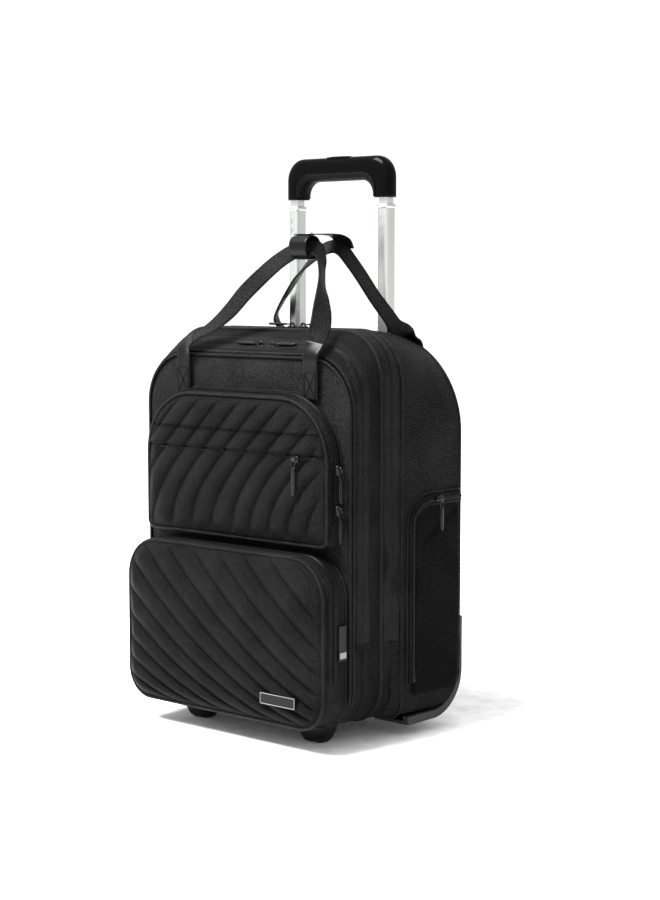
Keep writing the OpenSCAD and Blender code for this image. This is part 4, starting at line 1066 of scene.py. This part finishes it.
# ---- zip sliders and pulls ----------------------------------------------------------------
def slider_mesh(name, matrix, body, replaced):
    """Wedge-shaped body with flared nose, side flanges and a crown loop."""
    b = Builder()
    shape = [(-5.5, 2.4), (-4.6, 2.9), (-1.5, 3.1), (1.5, 3.9), (4.2, 4.0), (5.3, 3.2), (5.5, 2.4)]
    rings = []
    section = ((-1, 0.5), (-1, 2.9), (-0.8, 3.4), (0.8, 3.4), (1, 2.9), (1, 0.5), (0.8, 0.1), (-0.8, 0.1))
    for x, w in shape:
        rings.append([(x, s * w, z) for s, z in section])
    b.grid(rings, wrap_m=True).cap(rings[0], flip=True).cap(rings[-1])
    crown = [(3.4 * math.cos(a), 0, 3.0 + 4.2 * math.sin(a)) for a in np.linspace(math.pi, 0, 11)]
    for i, c in enumerate(crown):
        crown[i] = np.array(c)
    hoop = []
    for i, c in enumerate(crown):
        hoop.append([c + np.array((0, dy, 0)) + np.array((c[0], 0, c[2] - 3.0)) / 4.0 * dr
                     for dy, dr in ((-1.1, -0.5), (-1.1, 0.5), (1.1, 0.5), (1.1, -0.5))])
    b.grid(hoop, wrap_m=True).cap(hoop[0], flip=True).cap(hoop[-1])
    verts = [matrix @ Vector([c * MM for c in v]) for v in b.verts]
    obj = make(name, verts, b.faces, METAL_BLACK)
    weld(obj)
    return finish_piece(obj, body, "zip_metal", *replaced)


def pull_mesh(name, matrix, body, replaced, hang=False, length=38.0, tilt=0.0):
    """A wire ring through the crown, a cord loop and a moulded tab with grip ribs."""
    b = Builder()
    wire = 0.75
    corners = [(0, -2.5), (-8.5, -2.5), (-11, -1.4), (-11, 1.4), (-8.5, 2.5), (0, 2.5)]
    path = spline([(x, y, 0) for x, y in corners + corners[:1]], 4)
    rings = []
    for i, p in enumerate(path):
        t = path[min(i + 1, len(path) - 1)] - path[max(i - 1, 0)]
        t = t / max(np.linalg.norm(t), 1e-9)
        side = np.array([-t[1], t[0], 0])
        rings.append([p + wire * (side * math.cos(a) + np.array([0, 0, 1]) * math.sin(a))
                      for a in np.linspace(0, 2 * math.pi, 7)[:-1]])
    b.grid(rings, wrap_m=True)
    tab = []
    for s in np.linspace(0, 1, 26):
        x = -9.5 - s * (length - 9.5)
        w = 1.5 + 1.9 * math.sin(math.pi * min(1, 0.15 + s * 0.8)) ** 0.8
        if s > 0.93:
            w *= math.sqrt(max(0.05, 1 - ((s - 0.93) / 0.075) ** 2))
        h = 1.35 + (0.28 * math.cos(s * 22 * math.pi) if 0.3 < s < 0.85 else 0)
        if s < 0.08:
            h *= 0.8
        tab.append([(x, w * math.cos(a), h * math.sin(a)) for a in np.linspace(0, 2 * math.pi, 13)[:-1]])
    b.grid(tab, wrap_m=True).cap(tab[0], flip=True).cap(tab[-1])
    turn = Matrix.Rotation(math.pi / 2, 4, "Z") if hang else Matrix.Identity(4)
    lift = Matrix.Translation((0, 0, 5.4 * MM))
    tip = Matrix.Rotation(math.radians(tilt), 4, "Y")
    verts = [matrix @ (lift @ (tip @ (turn @ Vector([c * MM for c in v])))) for v in b.verts]
    obj = make(name, verts, b.faces, PULL)
    weld(obj)
    return finish_piece(obj, body, "pull_rubber", *replaced)


def frame_of(origin, x_axis, z_axis):
    x, z = Vector(x_axis).normalized(), Vector(z_axis).normalized()
    y = z.cross(x)
    m = Matrix((x, y, z)).transposed().to_4x4()
    m.translation = Vector(origin)
    return m


def mid(node, axis):
    return (low(node, axis) + high(node, axis)) / 2


def zip_pulls():
    for side, sign in (("left", -1), ("right", 1)):
        for zipname in ("front", "main"):
            node = f"{zipname}_slider_{side}"
            z = low(node, 2) + (0.4 if zipname == "front" else 0.0) * MM
            lean = -0.25 if zipname == "front" else 0
            m = frame_of((mid(node, 0), mid(node, 1), z), (-sign, 0, 0), (0, lean, 1))
            slider_mesh(node + "_piece", m, node, (node,))
            pull_node = f"{zipname}_pull_left"
            if side == "left":
                pull_mesh(pull_node + "_piece", m, pull_node, (pull_node,))
            else:
                pull_mesh(f"{zipname}_pull_right_piece", m, node, ())
    for level in ("high", "low"):
        node = f"upper_slider_{level}"
        m = frame_of((low(node, 0), mid(node, 1), mid(node, 2)), (0, 0, 1), (1, 0, 0))
        slider_mesh(node + "_piece", m, node, (node,))
        pull_mesh(f"upper_pull_{level}_piece", m, f"upper_pull_{level}", (f"upper_pull_{level}",))
    place = (mid("flap_slider", 0), high("flap_slider", 1), mid("flap_slider", 2))
    m = frame_of(place, (1, 0, 0), (0, -1, 0))
    slider_mesh("flap_slider_piece", m, "flap_slider", ("flap_slider",))
    pull_mesh("flap_pull_piece", m, "flap_pull", ("flap_pull",), hang=True, length=42.0)
    place = (high("lower_slider", 0), mid("lower_slider", 1), mid("lower_slider", 2))
    m = frame_of(place, (0, 0, 1), (-1, 0, 0))
    slider_mesh("lower_slider_piece", m, "lower_slider", ("lower_slider",))
    pull_mesh("lower_pull_piece", m, "lower_pull", ("lower_pull",), tilt=20.0)
    for side, sign in (("left", -1), ("right", 1)):
        node = f"side_slider_{side}"
        place = (low(node, 0) if sign > 0 else high(node, 0), mid(node, 1), high(node, 2) - 4 * MM)
        m = frame_of(place, (0, 1, 0), (sign, 0, 0))
        slider_mesh(node + "_piece", m, node, (node,))
        pull_mesh(f"side_pull_{side}_piece", frame_of(place, (0, sign, 0), (sign, 0, 0)), node, (), hang=True)


# ---- hard parts ---------------------------------------------------------------------------
def tray_strip(name, outer, inner, xa, xb):
    """A curved plate between two profiles, from one x to another, with closed ends."""
    section = np.vstack([outer, inner[::-1]])
    rows = [[(x, p[0], p[1]) for p in section] for x in (xa, xb)]
    b = Builder().grid(rows, wrap_m=True)
    n = len(outer)
    for row, flip in ((rows[0], False), (rows[1], True)):
        b.grid(np.array([[row[i], row[2 * n - 1 - i]] for i in range(n)]), flip=flip)
    plate = b.make(name, GUARD)
    weld(plate)
    return plate


def base_tray():
    """The moulded base: a floor that sweeps up the back, with a thick rim at each side."""
    x1 = high("wheel_base_tray", 0)
    z0, z1 = low("wheel_base_tray", 2), high("wheel_base_tray", 2)
    y0, y1 = low("wheel_base_tray", 1), high("wheel_base_tray", 1)
    r = 56 * MM
    cy, cz = y1 - r, z0 + r

    def sweep(t):
        pts = [(y, z0 + t) for y in np.linspace(y0, cy, 8)[:-1]]
        pts += [(cy + (r - t) * math.sin(a), cz - (r - t) * math.cos(a))
                for a in np.linspace(0, math.pi / 2, 26)]
        pts += [(y1 - t, z) for z in np.linspace(cz, z1, 12)[1:]]
        return np.array(pts)
    inner_x, outer_x = 87 * MM, 113 * MM
    thick, rim, rim_w = 4.8 * MM, 10.5 * MM, 9 * MM
    spans = [(-inner_x, inner_x, thick), (outer_x, x1 - rim_w, thick), (-x1 + rim_w, -outer_x, thick),
             (x1 - rim_w, x1, rim), (-x1, -x1 + rim_w, rim)]
    for k, (xa, xb, t) in enumerate(spans):
        part = tray_strip(f"base_tray_{k}", sweep(0), sweep(t), xa, xb)
        edge = part.modifiers.new("bevel", "BEVEL")
        edge.width = 1.3 * MM
        edge.segments = 3
        edge.limit_method = "ANGLE"
        edge.angle_limit = math.radians(50)
        part.modifiers.new("edges", "WEIGHTED_NORMAL").keep_sharp = True
        finish_piece(part, "case", "guard_plastic", *(("wheel_base_tray",) if k == 0 else ()))
    over_wheel = 64 * MM
    outer, inner = sweep(0)[-11:], sweep(thick)[-11:]
    keep = outer[:, 1] > over_wheel
    for sign in (-1, 1):
        part = tray_strip(f"tray_over_wheel_{'r' if sign > 0 else 'l'}", outer[keep], inner[keep],
                          sign * (inner_x + 0.4 * MM), sign * (outer_x - 0.4 * MM))
        finish_piece(part, "case", "guard_plastic")


def feet():
    """Two soft-cornered feet that taper to the floor."""
    for k, sign in enumerate((-1, 1)):
        lo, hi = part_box("front_feet")
        cx, cy = sign * (hi[0] - 24 * MM), (lo[1] + hi[1]) / 2
        profile = ((hi[2], 24, 17), (hi[2] - 4 * MM, 24, 17), (hi[2] - 10 * MM, 22.5, 16), (6 * MM, 18.5, 13),
                   (2.2 * MM, 15.5, 10.5), (0.5 * MM, 12.5, 8), (lo[2], 10.5, 6.5))
        rings = [squircle(cx, cy, w * MM, d * MM, z, 0.62) for z, w, d in profile]
        foot = closed_loft(f"front_foot_{k}", rings, BLACK_PLASTIC)
        finish_piece(foot, "case", "foot_plastic", *(("front_feet",) if k == 0 else ()))


def grip():
    """The trolley grip: a round-shouldered glossy upper on a softer, dotted lower with two sleeves."""
    z1 = high("grip_upper", 2)
    dn_lo, dn_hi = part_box("grip_lower")
    half = dn_hi[0]
    z0 = dn_lo[2]
    cy = (dn_lo[1] + dn_hi[1]) / 2
    depth = (dn_hi[1] - dn_lo[1]) / 2
    wide, bar_h, r_out, r_in = 26 * MM, 28 * MM, 25 * MM, 21 * MM

    def contour(w, top, r):
        """One edge of the grip seen from the front: up the left sleeve, over the bar, down the right one."""
        quarter = np.linspace(0, math.pi / 2, 14)
        pts = [(-w, z) for z in np.linspace(z0, top - r, 8)]
        pts += [(-w + r - r * math.cos(a), top - r + r * math.sin(a)) for a in quarter[1:]]
        pts += [(x, top) for x in np.linspace(-w + r, w - r, 34)[1:-1]]
        pts += [(w - r + r * math.sin(a), top - r + r * math.cos(a)) for a in quarter]
        pts += [(w, z) for z in np.linspace(top - r, z0, 8)[1:]]
        return np.array(pts)
    outer, under = contour(half, z1, r_out), contour(half - wide, z1 - bar_h, r_in)
    path, reach = (outer + under) / 2, (outer - under) / 2
    angles = np.linspace(0, 2 * math.pi, 40, endpoint=False)
    e = 0.72
    rings = []
    for centre, arm in zip(path, reach):
        ring = []
        for q in angles:
            a = math.copysign(abs(math.cos(q)) ** e, math.cos(q))
            d = math.copysign(abs(math.sin(q)) ** e, math.sin(q)) * depth
            ring.append((centre[0] + arm[0] * a, cy + d, centre[1] + arm[1] * a))
        rings.append(ring)
    rings = np.array(rings)
    body = closed_loft("grip_shell", rings, GLOSS)
    finish_piece(body, "handle_inner", "grip_plastic", "grip_upper", "grip_lower")
    # the softer lower half stands proud along the bar's underside and down the sleeves' inner sides
    inner = [k for k, q in enumerate(angles) if math.cos(q) < -0.25]
    lo_i = 4
    skin = rings[lo_i:-lo_i][:, inner]
    spine = path[lo_i:-lo_i]
    mid_line = np.stack([spine[:, 0], np.full(len(spine), cy), spine[:, 1]], axis=1)
    out = skin - mid_line[:, None]
    out /= np.linalg.norm(out, axis=2, keepdims=True)
    pad = thick_sheet("grip_soft_underside", skin + out * 0.45 * MM, 0.9 * MM, SOFT_GRIP)
    finish_piece(pad, "handle_inner", "grip_soft")
    # the release button's top dips in its middle, inside a glossy rim
    lo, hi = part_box("release_button")
    bx, by = (hi[0] - lo[0]) / 2, (hi[1] - lo[1]) / 2
    dome = ((9, 1.0), (1.6, 1.0), (0.5, 0.95), (0, 0.84), (0.25, 0.5), (0.5, 0.05))
    rows = [squircle(0, cy, bx * k, by * k, hi[2] - drop * MM, 0.5) for drop, k in dome]
    finish_piece(closed_loft("release_button_cap", rows, BLACK_PLASTIC), "release_button", "grip_plastic",
                 "release_button")
    rim = squircle(0, cy, 1.12 * bx, 1.18 * by, hi[2] - 1.6 * MM, 0.5)
    finish_piece(tube("button_rim", rim, 0.9 * MM, GLOSS, closed=True), "handle_inner", "grip_plastic")


def tube_details():
    """The parting collar at each middle tube's end."""
    top = high("middle_tubes", 2)
    half_x, half_y = 8.5 * MM, 9 * MM
    profile = ((-3, 1.02), (-2.8, 1.06), (1.6, 1.06), (2.1, 0.98), (2.1, 0.80))
    for sign, side in ((-1, "left"), (1, "right")):
        cx = sign * (high("middle_tubes", 0) - half_x)
        cy = mid("middle_tubes", 1)
        rings = [squircle(cx, cy, half_x * k, half_y * k, top + z * MM, 0.42, 36) for z, k in profile]
        collar = Builder().grid(rings, wrap_m=True).make(f"tube_collar_{side}", ALUMINIUM)
        weld(collar)
        solid = collar.modifiers.new("thickness", "SOLIDIFY")
        solid.thickness = 0.4 * MM
        finish_piece(collar, "handle_middle", "tube_aluminium")


def cad_finishes():
    """Materials of the CAD nodes that stay as they are."""
    looks = {BLACK_PLASTIC: ("base_board", "wheel_housings", "tube_base_bracket", "handle_bezel"),
             STEEL: ("base_rivets", "wheel_axles", "push_rods", "lock_pin_left", "lock_pin_right"),
             ALUMINIUM: ("middle_tubes", "inner_tubes"),
             MILL: ("outer_tubes",),
             BUSH: ("middle_tube_bushes", "lock_blocks"),
             RUBBER: ("tyre_left", "tyre_right"),
             HUB: ("hub_left", "hub_right")}
    for material, nodes in looks.items():
        for node in nodes:
            for slot_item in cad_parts[node].material_slots:
                slot_item.material = material


# ---- inside -------------------------------------------------------------------------------
def lined_wall(name, node, y, body, thickness):
    ring = outline(y, -4.2 * MM)
    centre = np.array([0.0, 0.24])
    rows = []
    for s in np.linspace(1, 0.02, 20):
        flat = centre + (ring - centre) * s
        depth = np.full(len(flat), y) - 0.25 * MM * (1 - s ** 4)
        rows.append(np.stack([flat[:, 0], depth, flat[:, 1]], axis=1))
    front = np.array(rows)
    back = front.copy()
    back[:, :, 1] += thickness
    b = Builder().grid(front, wrap_m=True, flip=True).cap(front[-1], flip=True)
    b.grid(back, wrap_m=True).cap(back[-1]).grid(np.stack([front[0], back[0]]), wrap_m=True)
    wall = b.make(name, LINING)
    weld(wall)
    finish_piece(wall, body, "lining", node)
    path = outline_path(y, -9 * MM)
    path[:, 1] = y - 0.5 * MM
    sewn(name + "_stitching", resample(path, STITCH_STEP), body, "lining")


def inside():
    """The linings of the two compartments and the laptop sleeve."""
    lined_wall("lining_wall", "compartment_lining", low("compartment_lining", 1), "case", 2 * MM)
    lined_wall("divider_cloth", "divider_wall", low("divider_wall", 1), "middle_section", 3 * MM)
    lo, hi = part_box("laptop_sleeve")
    nx, nz = 60, 50
    x = np.linspace(lo[0], hi[0], nx)
    z = np.linspace(lo[2], hi[2], nz)
    xx, zz = np.meshgrid(x, z)
    height = (zz - lo[2]) / (hi[2] - lo[2])
    swell = (1 - np.abs(xx / hi[0]) ** 6) * np.clip(1.2 - np.abs(height - 0.5) ** 3 * 6, 0, 1)
    y = lo[1] + 2.6 * MM - 2.4 * MM * swell
    p = np.stack([xx, y, zz], axis=2)
    sleeve = thick_sheet("sleeve_cloth", p, 1.4 * MM, LINING, inward=-1)
    finish_piece(sleeve, "middle_section", "lining", "laptop_sleeve")
    rim = [(xv, lo[1] + 1.6 * MM, hi[2]) for xv in np.linspace(lo[0], hi[0], 40)]
    piping("sleeve_binding", rim, 1.6 * MM, "middle_section", closed=False)
    for k, xv in enumerate((lo[0] + 1 * MM, hi[0] - 1 * MM)):
        side = [(xv, lo[1] + 3.2 * MM, zv) for zv in np.linspace(lo[2], hi[2], 40)]
        piping(f"sleeve_side_{k}", side, 1.4 * MM, "middle_section", closed=False)


# ---- studio -------------------------------------------------------------------------------
def studio():
    n = 40
    grid = [[(x, y, 0.0) for x in np.linspace(-4, 4, n)] for y in np.linspace(-4, 4, n)]
    floor = Builder().grid(grid, flip=True).make("studio_floor", FLOOR)
    world = bpy.data.worlds.new("soft_white")
    bpy.context.scene.world = world
    world.use_nodes = True
    world.node_tree.nodes["Background"].inputs["Color"].default_value = (1, 1, 1, 1)
    world.node_tree.nodes["Background"].inputs["Strength"].default_value = 1.18
    lamp = bpy.data.lights.new("key", "AREA")
    lamp.energy = 590
    lamp.size = 1.7
    key = bpy.data.objects.new("key", lamp)
    key.location = (-0.7, -1.7, 3.3)
    aim = Vector((0, 0, 0.28)) - key.location
    key.rotation_euler = aim.to_track_quat("-Z", "Y").to_euler()
    bpy.context.scene.collection.objects.link(key)
    cam_data = bpy.data.cameras.new("camera")
    cam_data.lens = 74.8
    cam = bpy.data.objects.new("camera", cam_data)
    azimuth, elevation = math.radians(41.6), math.radians(5.3)
    back = Vector((math.sin(azimuth) * math.cos(elevation), -math.cos(azimuth) * math.cos(elevation),
                   math.sin(elevation)))
    cam.location = (1.5381, -1.6606, 0.5434)
    cam.rotation_euler = back.to_track_quat("Z", "Y").to_euler()
    bpy.context.scene.collection.objects.link(cam)
    bpy.context.scene.camera = cam
    bpy.context.scene.view_settings.view_transform = "Standard"


studio()
compartments()
front_pockets()
side_pockets()
strap("front", FRONT_ROUTE, "front_strap", "front_panel", 470 * MM, "front_strap",
      "front_strap_anchors")
strap("rear", REAR_ROUTE, "case", "case", 474 * MM, "rear_strap", "rear_strap_anchors")
wrap()
labels()
zip_pulls()
base_tray()
feet()
grip()
tube_details()
cad_finishes()
inside()
